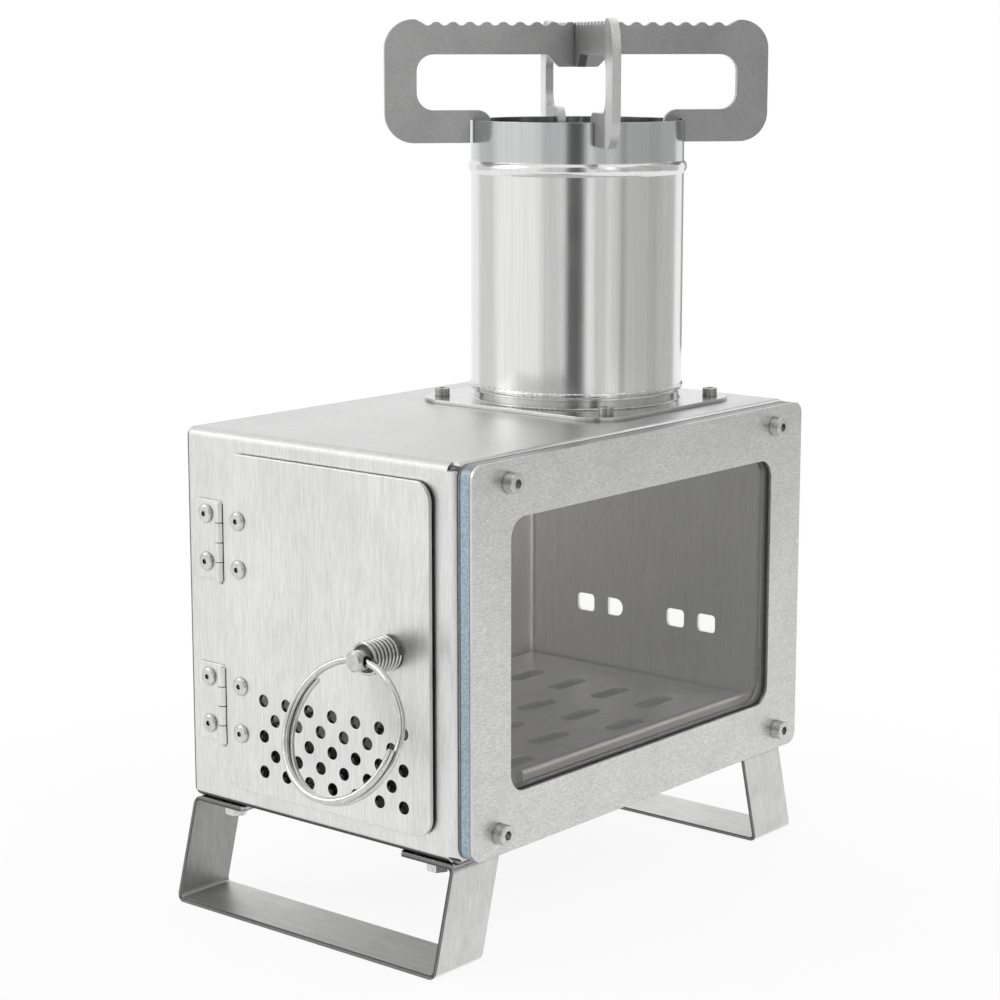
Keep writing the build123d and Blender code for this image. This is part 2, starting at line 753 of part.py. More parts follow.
def foot(top_outer_y, outward):
    """A foot whose legs lean outward along Y from the outer edge of its top flanges."""
    top_inner_y = top_outer_y - outward * foot_strip
    bottom_outer_y = top_outer_y + outward * foot_lean
    bottom_inner_y = top_inner_y + outward * foot_lean
    middle_y = (top_inner_y + bottom_outer_y) / 2
    inside = foot_half_width - foot_thickness
    flange_end = foot_half_width - foot_flange_length
    with BuildPart() as strip:
        with BuildSketch(Plane.XZ.offset(-middle_y)):
            with BuildLine():
                FilletPolyline(
                    (foot_x - flange_end, base_z),
                    (foot_x - foot_half_width, base_z),
                    (foot_x - foot_half_width, 0),
                    (foot_x + foot_half_width, 0),
                    (foot_x + foot_half_width, base_z),
                    (foot_x + flange_end, base_z),
                    radius=foot_bend,
                )
                Line((foot_x + flange_end, base_z), (foot_x + flange_end, base_z - foot_thickness))
                FilletPolyline(
                    (foot_x + flange_end, base_z - foot_thickness),
                    (foot_x + inside, base_z - foot_thickness),
                    (foot_x + inside, foot_thickness),
                    (foot_x - inside, foot_thickness),
                    (foot_x - inside, base_z - foot_thickness),
                    (foot_x - flange_end, base_z - foot_thickness),
                    radius=foot_bend - foot_thickness,
                )
                Line((foot_x - flange_end, base_z - foot_thickness), (foot_x - flange_end, base_z))
            make_face()
        extrude(amount=foot_strip + foot_lean, both=True)
        with BuildSketch(Plane.YZ.offset(foot_x)):
            Polygon(
                (top_outer_y, base_z),
                (bottom_outer_y, 0),
                (bottom_inner_y, 0),
                (top_inner_y, base_z),
                align=None,
            )
        extrude(amount=body_width, both=True, mode=Mode.INTERSECT)
        flange_edges = strip.edges().filter_by_position(
            Axis.Z, base_z - foot_thickness - 0.1, base_z + 0.1
        )
        flange_end_edges = flange_edges.filter_by_position(
            Axis.X, foot_x - flange_end - 0.1, foot_x + flange_end + 0.1
        )
        fillet(flange_end_edges.sort_by(SortBy.LENGTH)[:4], foot_flange_corner)
        bolt_holes = discs(shell_base, foot_bolt_points, m4_hole_radius)
        extrude(bolt_holes, amount=-foot_thickness, mode=Mode.SUBTRACT)
    return strip.part


with BuildPart() as front_foot:
    add(foot(front_y - foot_front_overhang, -1))
front_foot.part.label = "front_foot"
export_step(front_foot.part, "parts/front_foot.step")

with BuildPart() as rear_foot:
    add(foot(rear_y + foot_rear_overhang, 1))
rear_foot.part.label = "rear_foot"
export_step(rear_foot.part, "parts/rear_foot.step")

with BuildPart() as foot_bolts:
    under_flange = shell_base.offset(-foot_thickness)
    foot_shank = foot_thickness + sheet + m4_nut_height + thread_beyond_nut
    extrude(hexagons(under_flange, foot_bolt_points, m4_hex_across), amount=-m4_hex_height)
    extrude(discs(under_flange, foot_bolt_points, m4_radius), amount=foot_shank)
foot_bolts.part.label = "foot_bolts"
export_step(foot_bolts.part, "parts/foot_bolts.step")

with BuildPart() as foot_nuts:
    floor_inside = shell_base.offset(sheet)
    add(hex_nuts(floor_inside, foot_bolt_points, m4_nut_across, m4_nut_height, m4_radius))
foot_nuts.part.label = "foot_nuts"
export_step(foot_nuts.part, "parts/foot_nuts.step")


# Hinges: a leaf on the front panel, a leaf behind the door and a pin each

knuckle_height = hinge_height / knuckle_count


def hinge_leaf(center_z, side, back_y, knuckles, bore_radius):
    """A leaf that reaches to one side of the pin, with some of the knuckles around it."""
    bottom_z = center_z - hinge_height / 2
    leaf_plane = Plane.XZ.offset(-back_y)
    others = [index for index in range(knuckle_count) if index not in knuckles]
    notch_reach = barrel_radius + notch_clearance
    with BuildPart() as leaf:
        with BuildSketch(leaf_plane):
            with Locations((hinge_x + side * hinge_leaf_width / 2, center_z)):
                Rectangle(hinge_leaf_width, hinge_height)
            for index in others:
                with Locations((hinge_x, bottom_z + (index + 0.5) * knuckle_height)):
                    Rectangle(2 * notch_reach, knuckle_height + knuckle_gap, mode=Mode.SUBTRACT)
        extrude(amount=leaf_thickness)
        outer_corners = leaf.edges().filter_by(Axis.Y).group_by(Axis.X)[0 if side < 0 else -1]
        fillet(outer_corners, leaf_corner)
        for index in knuckles:
            knuckle_z = bottom_z + (index + 0.5) * knuckle_height
            with Locations((hinge_x, hinge_y, knuckle_z)):
                Cylinder(barrel_radius, knuckle_height - knuckle_gap)
        with Locations((hinge_x, hinge_y, center_z)):
            Cylinder(bore_radius, hinge_height + 1, mode=Mode.SUBTRACT)
        holes = discs(leaf_plane, fixed_rivet_points if side < 0 else door_rivet_points, rivet_radius)
        extrude(holes, amount=leaf_thickness, mode=Mode.SUBTRACT)
    return leaf.part


for name, center_z in hinge_centers.items():
    with BuildPart() as fixed_leaf:
        add(hinge_leaf(center_z, -1, front_y, (1, 3), hinge_pin_radius))
    fixed_leaf.part.label = f"hinge_{name}_fixed_leaf"
    export_step(fixed_leaf.part, f"parts/hinge_{name}_fixed_leaf.step")

    with BuildPart() as door_leaf:
        door_leaf_back_y = front_y - door_standoff + leaf_thickness
        door_leaf_bore = hinge_pin_radius + hinge_pin_running_clearance
        add(hinge_leaf(center_z, 1, door_leaf_back_y, (0, 2), door_leaf_bore))
    door_leaf.part.label = f"hinge_{name}_door_leaf"
    export_step(door_leaf.part, f"parts/hinge_{name}_door_leaf.step")

    with BuildPart() as hinge_pin:
        with Locations((hinge_x, hinge_y, center_z - hinge_pin_overhang / 2)):
            Cylinder(hinge_pin_radius, hinge_height + hinge_pin_overhang)
    hinge_pin.part.label = f"hinge_{name}_pin"
    export_step(hinge_pin.part, f"parts/hinge_{name}_pin.step")

with BuildPart() as fixed_leaf_rivets:
    add(blind_rivets(front_face.offset(leaf_thickness), fixed_rivet_points, leaf_thickness + sheet))
fixed_leaf_rivets.part.label = "fixed_leaf_rivets"
export_step(fixed_leaf_rivets.part, "parts/fixed_leaf_rivets.step")

with BuildPart() as door_leaf_rivets:
    add(blind_rivets(door_face, door_rivet_points, leaf_thickness + door_thickness))
door_leaf_rivets.part.label = "door_leaf_rivets"
export_step(door_leaf_rivets.part, "parts/door_leaf_rivets.step")


# Door panel with its staggered air holes and the latch hole

with BuildPart() as door_panel:
    door_center = (left_x + (door_left + door_right) / 2, base_z + (door_bottom + door_top) / 2)
    door_outline = plate(door_back, door_center, door_right - door_left, door_top - door_bottom, door_corner)
    extrude(door_outline, amount=door_thickness)
    with BuildSketch(door_back):
        with Locations((left_x + vent_center_from_left, base_z + vent_center_height)):
            with GridLocations(vent_pitch, 2 * vent_row_pitch, vent_wide_row, vent_wide_rows):
                Circle(vent_radius)
            with GridLocations(vent_pitch, 2 * vent_row_pitch, vent_wide_row - 1, vent_narrow_rows):
                Circle(vent_radius)
        with Locations(latch_point):
            Circle(latch_pin_radius + latch_running_clearance)
        with Locations(*door_rivet_points):
            Circle(rivet_radius)
    extrude(amount=door_thickness, mode=Mode.SUBTRACT)
door_panel.part.label = "door_panel"
export_step(door_panel.part, "parts/door_panel.step")


# Latch: a cross-drilled pin, the tongue and nut behind the door

shoulder = front_face.offset(-sheet - tongue_to_panel)
pin_front = front_face.offset(latch_pin_reach)
stud_length = tongue_thickness + latch_nut_height + latch_stud_beyond_nut

with BuildPart() as latch_pin:
    pin_length = latch_pin_reach + sheet + tongue_to_panel
    extrude(discs(pin_front, [latch_point], latch_pin_radius), amount=-pin_length)
    chamfer(latch_pin.edges().filter_by(GeomType.CIRCLE).sort_by(Axis.Y)[0], latch_pin_chamfer)
    extrude(discs(shoulder, [latch_point], latch_stud_radius), amount=-stud_length)
    with BuildSketch(Plane.YZ.offset(latch_x)):
        with Locations((ring_hole.Y, ring_hole.Z)):
            Circle(latch_hole_radius)
    extrude(amount=2 * latch_pin_radius, both=True, mode=Mode.SUBTRACT)
latch_pin.part.label = "latch_pin"
export_step(latch_pin.part, "parts/latch_pin.step")

with BuildPart() as latch_tongue:
    with BuildSketch(shoulder):
        with Locations((latch_x, latch_z + (tongue_length - tongue_width / 2) / 2)):
            SlotOverall(tongue_length + tongue_width / 2, tongue_width, rotation=90)
        with Locations(latch_point):
            Circle(latch_stud_radius, mode=Mode.SUBTRACT)
    extrude(amount=-tongue_thickness)
latch_tongue.part.label = "latch_tongue"
export_step(latch_tongue.part, "parts/latch_tongue.step")

with BuildPart() as latch_nut:
    nut_back = shoulder.offset(-tongue_thickness - latch_nut_height)
    add(hex_nuts(nut_back, [latch_point], latch_nut_across, latch_nut_height, latch_stud_radius))
latch_nut.part.label = "latch_nut"
export_step(latch_nut.part, "parts/latch_nut.step")


# Latch spring: a slightly tapered coil around the pin, from near the ring to the door

spring_outer_y = front_y - spring_outer_reach + spring_wire / 2
spring_door_y = front_y - door_standoff - door_thickness - spring_end_gap - spring_wire / 2
spring_travel = spring_door_y - spring_outer_y


def spring_point(turn):
    """Middle of the spring's wire after a number of turns from its outer end."""
    share = turn / spring_turn_count
    radius = spring_outer_radius + (spring_door_radius - spring_outer_radius) * share
    angle = 2 * pi * turn
    return Vector(
        latch_x + radius * cos(angle),
        spring_outer_y + spring_travel * share,
        latch_z + radius * sin(angle),
    )


def spring_direction(turn):
    """Direction of the spring's wire, as it winds towards the door."""
    step = 1e-4
    return (spring_point(turn + step) - spring_point(turn - step)).normalized()


with BuildPart() as latch_spring:
    with BuildLine() as spring_path:
        for quarter in range(4 * spring_turn_count):
            start_turn = quarter / 4
            end_turn = (quarter + 1) / 4
            biarc(
                spring_point(start_turn),
                spring_direction(start_turn),
                spring_point(end_turn),
                spring_direction(end_turn),
            )
    with BuildSketch(Plane(origin=spring_path.line @ 0, z_dir=spring_path.line % 0)):
        Circle(spring_wire / 2)
    sweep(path=spring_path.line)
latch_spring.part.label = "latch_spring"
export_step(latch_spring.part, "parts/latch_spring.step")


# Split ring: one wire of a turn and a half in two layers, through the pin's cross hole

swing = radians(ring_swing)
ring_plane = Plane(
    origin=ring_hole + Vector(0, -sin(swing), -cos(swing)) * ring_radius,
    x_dir=(1, 0, 0),
    z_dir=(0, -cos(swing), sin(swing)),
)
layer_pitch = ring_wire + ring_layer_gap


def ring_point(angle, depth):
    """A point of the ring, its angle clockwise from the top and its depth behind the front layer."""
    turn = radians(angle)
    return ring_plane.from_local_coords(Vector(ring_radius * sin(turn), ring_radius * cos(turn), -depth))


def ring_direction(angle):
    """Direction of the wire within a layer, clockwise."""
    turn = radians(angle)
    ahead = ring_plane.from_local_coords(Vector(cos(turn), -sin(turn), 0))
    return ahead - ring_plane.origin


def ring_layer(start_angle, end_angle, depth, arcs):
    """A flat stretch of the ring as equal arcs."""
    step = (end_angle - start_angle) / arcs
    for index in range(arcs):
        from_angle = start_angle + index * step
        ThreePointArc(
            ring_point(from_angle, depth),
            ring_point(from_angle + step / 2, depth),
            ring_point(from_angle + step, depth),
        )


with BuildPart() as pull_ring:
    with BuildLine() as ring_path:
        ring_layer(ring_start_angle, ring_cross_start, 0, ring_front_arc_count)
        biarc(
            ring_point(ring_cross_start, 0),
            ring_direction(ring_cross_start),
            ring_point(ring_cross_end, layer_pitch),
            ring_direction(ring_cross_end),
        )
        ring_layer(ring_cross_end, ring_end_angle, layer_pitch, ring_rear_arc_count)
    with BuildSketch(Plane(origin=ring_path.line @ 0, z_dir=ring_path.line % 0)):
        Circle(ring_wire / 2)
    sweep(path=ring_path.line)
pull_ring.part.label = "pull_ring"
export_step(pull_ring.part, "parts/pull_ring.step")


# Least gaps of the two wound wires to themselves


def samples(path, spacing):
    """Points along a path of arcs, at most a spacing apart."""
    points = []
    for arc in path.edges():
        count = ceil(arc.length / spacing)
        points += [arc @ (index / count) for index in range(count)]
    return points


spring_gap = least_gap(samples(spring_path.line, 0.5), spring_wire, 4 * spring_wire)
ring_gap = least_gap(samples(ring_path.line, 1.0), ring_wire, 4 * ring_wire)
print(f"latch spring: least gap to itself {spring_gap:.2f} mm")
print(f"pull ring: least gap to itself {ring_gap:.2f} mm")
print(f"body from x {left_x:.3f} to {right_x:.3f}, y {front_y:.3f} to {rear_y:.3f}")
print(f"body from z {base_z:.3f} to {top_z:.3f}")
print(f"hinge axis x {hinge_x:.3f}, y {hinge_y:.3f}")
print(f"latch axis x {latch_x:.3f}, z {latch_z:.3f}, ring hole y {ring_hole.Y:.3f}")
print(f"flue centre x {flue_center[0]:.3f}, y {flue_center[1]:.3f}")
print(f"pipe rim z {rim_z:.3f}, pot stand top z {stand_top_z:.3f}")
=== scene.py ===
import logging
import math
from dataclasses import dataclass
from enum import Enum
from typing import Protocol

import bmesh
import bpy
from mathutils import Matrix, Vector


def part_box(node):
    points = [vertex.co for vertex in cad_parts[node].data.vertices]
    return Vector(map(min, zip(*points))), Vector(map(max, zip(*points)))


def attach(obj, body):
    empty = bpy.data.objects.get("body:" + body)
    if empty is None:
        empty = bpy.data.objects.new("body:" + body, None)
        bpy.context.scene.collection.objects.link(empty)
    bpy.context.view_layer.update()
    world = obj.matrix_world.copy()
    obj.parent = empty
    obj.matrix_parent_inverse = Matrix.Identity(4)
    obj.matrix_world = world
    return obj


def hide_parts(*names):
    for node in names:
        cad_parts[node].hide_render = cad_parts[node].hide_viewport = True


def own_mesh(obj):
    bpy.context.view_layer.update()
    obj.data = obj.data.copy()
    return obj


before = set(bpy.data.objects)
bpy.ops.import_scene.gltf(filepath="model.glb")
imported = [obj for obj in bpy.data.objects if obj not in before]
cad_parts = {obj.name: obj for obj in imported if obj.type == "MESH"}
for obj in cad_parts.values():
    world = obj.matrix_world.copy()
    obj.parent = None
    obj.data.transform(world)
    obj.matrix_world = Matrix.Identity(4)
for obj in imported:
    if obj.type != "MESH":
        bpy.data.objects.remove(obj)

LOG = logging.getLogger("wood_stove")
Triple = tuple[float, float, float]
Color = Triple
Span = tuple[float, float]
Box = tuple[Vector, Vector]
Socket = bpy.types.NodeSocket
Value = Socket | float | tuple

# The same along each axis, and three directions in the frame
EVEN: Triple = (1.0, 1.0, 1.0)
EAST: Triple = (1.0, 0.0, 0.0)
BACK: Triple = (0.0, 1.0, 0.0)
UP: Triple = (0.0, 0.0, 1.0)
# Where nearly all of a noise's values lie, and where most of them do
BROAD: Span = (0.25, 0.75)
NARROW: Span = (0.3, 0.7)
# Pale steel, as on the window's plate, the flange, the feet and the rivets, and the bright colour of worn
# edges, which is also a painted highlight
PALE: Color = (0.66, 0.66, 0.655)
WEAR_AND_HIGHLIGHT: Color = (0.93, 0.93, 0.92)


class Grain(Enum):
    """How the brushing of a sheet runs, as the stretch of its noise along x, y and z."""

    UPRIGHT = (1.0, 1.0, 0.07)
    ALONG = (1.0, 0.07, 1.0)
    ACROSS = (0.07, 1.0, 1.0)
    SHORT_ALONG = (1.0, 0.2, 1.0)
    MOTTLED = (1.0, 1.0, 1.0)


@dataclass(frozen=True)
class Noise:
    """One layer of noise: its cycles for each metre, its finer layers, and its shift from the seed."""

    scale: float
    detail: float
    roughness: float
    shift: float = 0.0


@dataclass(frozen=True)
class PaintedBend:
    """A folded edge of a sheet: the way it faces, and the tone painted on it against the faces beside it, a
    painted shade below 1 and a painted highlight above 1.
    """

    direction: Triple
    tone: float


def looked_at(tree: bpy.types.NodeTree) -> Socket:
    """Tell the rays that look for a background, which come from the camera, off gloss or through glass.

    Args:
        tree: the node tree to add the nodes to.

    Returns:
        1 for such a ray and 0 for one that only carries light.
    """
    path = tree.nodes.new("ShaderNodeLightPath")
    share = path.outputs["Is Camera Ray"]
    for kind in ("Is Glossy Ray", "Is Transmission Ray"):
        either = tree.nodes.new("ShaderNodeMath")
        either.operation = "MAXIMUM"
        tree.links.new(share, either.inputs[0])
        tree.links.new(path.outputs[kind], either.inputs[1])
        share = either.outputs[0]
    return share


class Graph:
    """The node graph of one material, with short calls for the nodes that the finishes share."""

    seed_steps: Triple = (1.0, 1.7, 0.6)
    bevel_samples: int = 4
    opening_samples: int = 6

    def __init__(self, name: str) -> None:
        """Start a material that holds one principled shader.

        Args:
            name: the material's name.
        """
        self.material = bpy.data.materials.new(name)
        self.material.use_nodes = True
        self.tree = self.material.node_tree
        self.shader = self.tree.nodes["Principled BSDF"]
        coordinates = self.tree.nodes.new("ShaderNodeTexCoord")
        self.place = coordinates.outputs["Object"]
        self.facing = coordinates.outputs["Normal"]

    def node(self, kind: str, *values: Value, **settings: object) -> bpy.types.Node:
        """Add a node.

        Args:
            kind: the node's type, without its common beginning.
            *values: its first inputs in order.
            **settings: attributes to set on it.

        Returns:
            The new node.
        """
        made = self.tree.nodes.new("ShaderNode" + kind)
        for key, setting in settings.items():
            setattr(made, key, setting)
        for socket, value in zip(made.inputs, values):
            self.feed(socket, value)
        return made

    def feed(self, socket: Socket, value: Value) -> None:
        """Link a socket to another one, or set it to a number or colour.

        Args:
            socket: the input to feed.
            value: the output that feeds it, or the value it keeps.
        """
        if isinstance(value, bpy.types.NodeSocket):
            self.tree.links.new(value, socket)
        elif isinstance(value, tuple) and socket.type == "RGBA":
            socket.default_value = (*value[:3], 1.0)
        else:
            socket.default_value = value

    def math(self, operation: str, *values: Value, clamp: bool = False) -> Socket:
        """Work out a number from others, and hold it between 0 and 1 if it is clamped."""
        return self.node("Math", *values, operation=operation, use_clamp=clamp).outputs[0]

    def product(self, first: Value, *others: Value) -> Value:
        """Multiply numbers together.

        Args:
            first: the first number.
            *others: the numbers to multiply it by.

        Returns:
            Their product.
        """
        for other in others:
            first = self.math("MULTIPLY", first, other)
        return first

    def plus(self, base: Value, value: Socket, share: float, clamp: bool = False) -> Socket:
        """Add a share of a number to another one, or take it away where the share is below 0."""
        return self.math("ADD", base, self.math("MULTIPLY", value, share), clamp=clamp)

    def vector(self, operation: str, *values: Value) -> bpy.types.Node:
        """Work out a vector or a number from vectors, and return the node with both."""
        return self.node("VectorMath", *values, operation=operation)

    def noise(self, layer: Noise, seed: float = 0.0, stretch: Triple = EVEN) -> Socket:
        """Soft noise from 0 to 1, around 0.5.

        Args:
            layer: how fine it is.
            seed: how far the pattern is moved, so that two pieces differ.
            stretch: the scale along x, y and z.

        Returns:
            The noise.
        """
        moved = tuple((seed + layer.shift) * step for step in self.seed_steps)
        scaled = self.vector("MULTIPLY", self.place, stretch).outputs[0]
        made = self.node("TexNoise")
        self.feed(made.inputs["Vector"], self.vector("ADD", scaled, moved).outputs[0])
        made.inputs["Scale"].default_value = layer.scale
        made.inputs["Detail"].default_value = layer.detail
        made.inputs["Roughness"].default_value = layer.roughness
        return made.outputs["Fac"]

    def between(self, value: Socket, low: float, high: float, start: float = 0.0, end: float = 1.0) -> Socket:
        """A number that goes smoothly from start, where a value is low, to end, where it is high."""
        ends = (low, high, start, end)
        return self.node("MapRange", value, *ends, interpolation_type="SMOOTHSTEP").outputs[0]

    def varied(self, noise: Socket, share: float, span: Span = NARROW) -> Socket:
        """A shade that follows noise as far above 1 as below it."""
        return self.between(noise, *span, 1.0 - share, 1.0 + share)

    def faded(self, mask: Socket, start: float, end: float) -> Socket:
        """A number that goes from start where a mask is 0 to end where it is 1."""
        return self.between(mask, 0.0, 1.0, start, end)

    def blend(self, factor: Value, first: Value, second: Value, mode: str = "MIX") -> Socket:
        """Mix two colours.

        Args:
            factor: how much of the second there is.
            first: the first colour.
            second: the second colour.
            mode: how they are mixed.

        Returns:
            The mixed colour.
        """
        made = self.node("Mix", factor, data_type="RGBA", blend_type=mode)
        # The node has sockets of the same names for numbers and vectors, so its colours go by index
        self.feed(made.inputs[6], first)
        self.feed(made.inputs[7], second)
        return made.outputs[2]

    def shade(self, color: Value, amount: Value) -> Socket:
        """Multiply a colour by a number or by another colour."""
        return self.blend(1.0, color, amount, "MULTIPLY")

    def paint_wear_and_highlight(self, color: Value, worn_and_lit: Socket, share: float, bright: Color = WEAR_AND_HIGHLIGHT) -> Socket:
        """Let a share of a bright colour show on worn edges, as wear and as a painted highlight."""
        return self.blend(self.product(worn_and_lit, share), color, bright)

    def axis(self, vector: Socket, index: int) -> Socket:
        """One component of a vector, 0 for x, 1 for y and 2 for z."""
        return self.node("SeparateXYZ", vector).outputs[index]

    def toward(self, direction: Triple) -> Socket:
        """How squarely the surface faces along a direction, from -1 to 1."""
        return self.vector("DOT_PRODUCT", self.facing, direction).outputs["Value"]

    def faces(self, direction: Triple) -> Socket:
        """How squarely the surface faces along a direction or against it, from 0 to 1."""
        return self.math("ABSOLUTE", self.toward(direction))

    def off_middle(self, low: Vector, high: Vector) -> Socket:
        """How far a place is along x from the middle of a box."""
        return self.math("ABSOLUTE", self.math("SUBTRACT", self.axis(self.place, 0), (low.x + high.x) / 2))

    def inside(self, low: Vector, high: Vector) -> Socket:
        """Tell the places in a box.

        Args:
            low: the box's lowest corner.
            high: its highest corner.

        Returns:
            1 in the box and 0 outside.
        """
        center, half = (low + high) / 2, (high - low) / 2
        from_center = self.vector("SUBTRACT", self.place, tuple(center)).outputs[0]
        away = self.vector("ABSOLUTE", from_center).outputs[0]
        past = self.vector("SUBTRACT", away, tuple(half)).outputs[0]
        widest = self.math("MAXIMUM", self.axis(past, 0), self.axis(past, 1))
        return self.math("LESS_THAN", self.math("MAXIMUM", widest, self.axis(past, 2)), 0.0)

    def rounded(self, radius: float) -> Socket:
        """The surface direction with its sharp edges rounded off."""
        return self.node("Bevel", radius, samples=self.bevel_samples).outputs[0]

    def edge(self, rounded: Socket, gain: float = 5.0) -> Socket:
        """Tell the edges, where the rounded direction leaves the true one.

        Args:
            rounded: the surface direction with rounded edges.
            gain: how quickly the result rises to 1.

        Returns:
            0 on flat faces and up to 1 along edges.
        """
        true = self.node("NewGeometry").outputs["Normal"]
        agree = self.vector("DOT_PRODUCT", rounded, true).outputs["Value"]
        return self.math("MULTIPLY", self.math("SUBTRACT", 1.0, agree), gain, clamp=True)

    def crevice_shade(self, reach: float, darkest: float, closed: float = 0.15, open_from: float = 0.85) -> Socket:
        """A painted shade for corners and joints, where shadow falls.

        Args:
            reach: how far from a corner it starts, in metres.
            darkest: its value deep in a corner.
            closed: the share of open space at which it is darkest.
            open_from: the share of open space from which it is 1.

        Returns:
            1 in the open, falling to darkest.
        """
        made = self.node("AmbientOcclusion", samples=self.opening_samples)
        made.inputs["Distance"].default_value = reach
        return self.between(made.outputs["AO"], closed, open_from, darkest, 1.0)

    def bump(self, height: Socket, strength: float, distance: float, normal: Socket | None = None) -> Socket:
        """Relief from a height.

        Args:
            height: the height from 0 to 1.
            strength: how much of it shows.
            distance: how tall a height of 1 is, in metres.
            normal: the surface direction under it.

        Returns:
            The surface direction with the relief.
        """
        made = self.node("Bump")
        made.inputs["Strength"].default_value = strength
        made.inputs["Distance"].default_value = distance
        self.feed(made.inputs["Height"], height)
        if normal is not None:
            self.feed(made.inputs["Normal"], normal)
        return made.outputs[0]

    def finish(
        self, color: Socket, roughness: Value, normal: Socket, metallic: float = 1.0
    ) -> bpy.types.Material:
        """Give the shader its colour, roughness and relief.

        Args:
            color: the base colour.
            roughness: the roughness.
            normal: the surface direction.
            metallic: 1 for bare metal and 0 for anything else.

        Returns:
            The finished material.
        """
        self.feed(self.shader.inputs["Base Color"], color)
        self.feed(self.shader.inputs["Roughness"], roughness)
        self.feed(self.shader.inputs["Normal"], normal)
        self.shader.inputs["Metallic"].default_value = metallic
        return self.material


class Finish(Protocol):
    """What each finish offers."""

    name: str

    def material(self) -> bpy.types.Material:
        """The finish as a material."""


@dataclass(frozen=True)
class BrushedSheet:
    """Brushed steel sheet, with fine scratches, longer streaks, soft blotches, and polished edges brightened
    as wear and as a painted highlight.
    """

    name: str
    tone: Color = (0.72, 0.72, 0.715)
    grain: Grain = Grain.UPRIGHT
    flat_grain: Grain = Grain.ALONG
    flat_span: Span = (0.4, 0.8)
    painted_level_light: float = 1.0
    fineness: float = 2300.0
    scratch: float = 0.09
    streaks: Noise = Noise(420.0, 2.0, 0.55, 3.0)
    streak: float = 0.025
    clouds: Noise = Noise(38.0, 3.0, 0.6)
    blotch: float = 0.035
    specks: Noise = Noise(900.0, 2.0, 0.7, 9.0)
    painted_glints: float = 0.0
    glint_scratches: Span = (0.56, 0.74)
    glint_specks: Span = (0.45, 0.7)
    roughness: float = 0.33
    roughness_drop: float = 0.05
    cloud_dulls: float = 0.08
    scratch_dulls: float = 0.06
    wear_polishes: float = 0.12
    relief: float = 0.22
    relief_height: float = 0.00006
    edge_radius: float = 0.00035
    edge_gain: float = 6.0
    edge_light: float = 0.22
    wear_span: Span = (0.3, 0.6)
    wear_tones: Span = (0.5, 1.0)
    crevice_shade_reach: float = 0.0013
    crevice_shade_tone: float = 0.22
    painted_bends: tuple[PaintedBend, ...] = ()
    bend_span: Span = (0.78, 0.9)
    bend_matt_span: Span = (0.7, 0.9)
    bend_roughness: float = 0.25
    room: Box | None = None
    room_shade: Color = (0.93, 0.92, 0.9)
    pierced: Box | None = None
    pierced_span: Span = (0.3, 0.7)
    pierced_shade: float = 0.12
    notch: Box | None = None
    notch_shade: float = 0.2
    cut_face: Triple | None = None
    cut_span: Span = (0.8, 0.93)
    cut_tone: float = 0.3
    seed: float = 0.0

    def scratches(self, graph: Graph, level: Socket) -> tuple[Socket, Socket]:
        """Fine scratches and longer streaks, which run one way on upright faces and another on level ones.

        Args:
            graph: the material's graph.
            level: 1 on level faces.

        Returns:
            The scratches and the streaks.
        """
        made = []
        for layer in (Noise(self.fineness, 3.0, 0.6), self.streaks):
            upright, flat = (
                graph.noise(layer, self.seed, grain.value) for grain in (self.grain, self.flat_grain)
            )
            made.append(graph.blend(level, upright, flat))
        return made[0], made[1]

    def placed(self, graph: Graph, color: Socket) -> Socket:
        """Darken the cut edges, and paint shade on the inside of the body, the walls of its holes and its open
        corner.

        Args:
            graph: the material's graph.
            color: the sheet's colour.

        Returns:
            The colour with these shades.
        """
        if self.cut_face:
            cut = graph.between(graph.faces(self.cut_face), *self.cut_span, 1.0, self.cut_tone)
            color = graph.shade(color, cut)
        # Painted shade inside the body
        if self.room:
            color = graph.blend(graph.inside(*self.room), color, graph.shade(color, self.room_shade))
        # Painted shade on the walls of the holes
        if self.pierced:
            across = graph.between(graph.faces(BACK), *self.pierced_span, 1.0, 0.0)
            wall = graph.product(graph.inside(*self.pierced), across)
            color = graph.shade(color, graph.faded(wall, 1.0, self.pierced_shade))
        # Painted shade in the open corner
        if self.notch:
            color = graph.shade(color, graph.faded(graph.inside(*self.notch), 1.0, self.notch_shade))
        return color

    def material(self) -> bpy.types.Material:
        """Build the finish.

        Returns:
            The material.
        """
        graph = Graph(self.name)
        level = graph.between(graph.faces(UP), *self.flat_span)
        fine, wide = self.scratches(graph, level)
        cloud = graph.noise(self.clouds, self.seed)
        speck = graph.noise(self.specks, self.seed)
        # The last factor is painted light on the level faces: a painted shade below 1, brighter above 1
        light = graph.product(
            graph.varied(fine, self.scratch, BROAD),
            graph.varied(wide, self.streak),
            graph.varied(cloud, self.blotch),
            graph.faded(level, 1.0, self.painted_level_light),
        )
        # Painted glints along some scratches
        if self.painted_glints > 0.0:
            lit = graph.between(fine, *self.glint_scratches)
            glint_mask = graph.product(lit, graph.between(speck, *self.glint_specks))
            light = graph.plus(light, glint_mask, self.painted_glints)
        rounded = graph.rounded(self.edge_radius)
        patchy = graph.between(speck, *self.wear_span, *self.wear_tones)
        worn_and_lit = graph.product(graph.edge(rounded, self.edge_gain), patchy)
        color = graph.shade(self.tone, light)
        # Painted shade in corners and joints
        color = graph.shade(color, graph.crevice_shade(self.crevice_shade_reach, self.crevice_shade_tone))
        # Edges brightened, as wear and as a painted highlight
        color = graph.paint_wear_and_highlight(color, worn_and_lit, self.edge_light)
        rough = graph.plus(self.roughness - self.roughness_drop, cloud, self.cloud_dulls)
        rough = graph.plus(rough, fine, self.scratch_dulls)
        rough = graph.plus(rough, worn_and_lit, -self.wear_polishes, clamp=True)
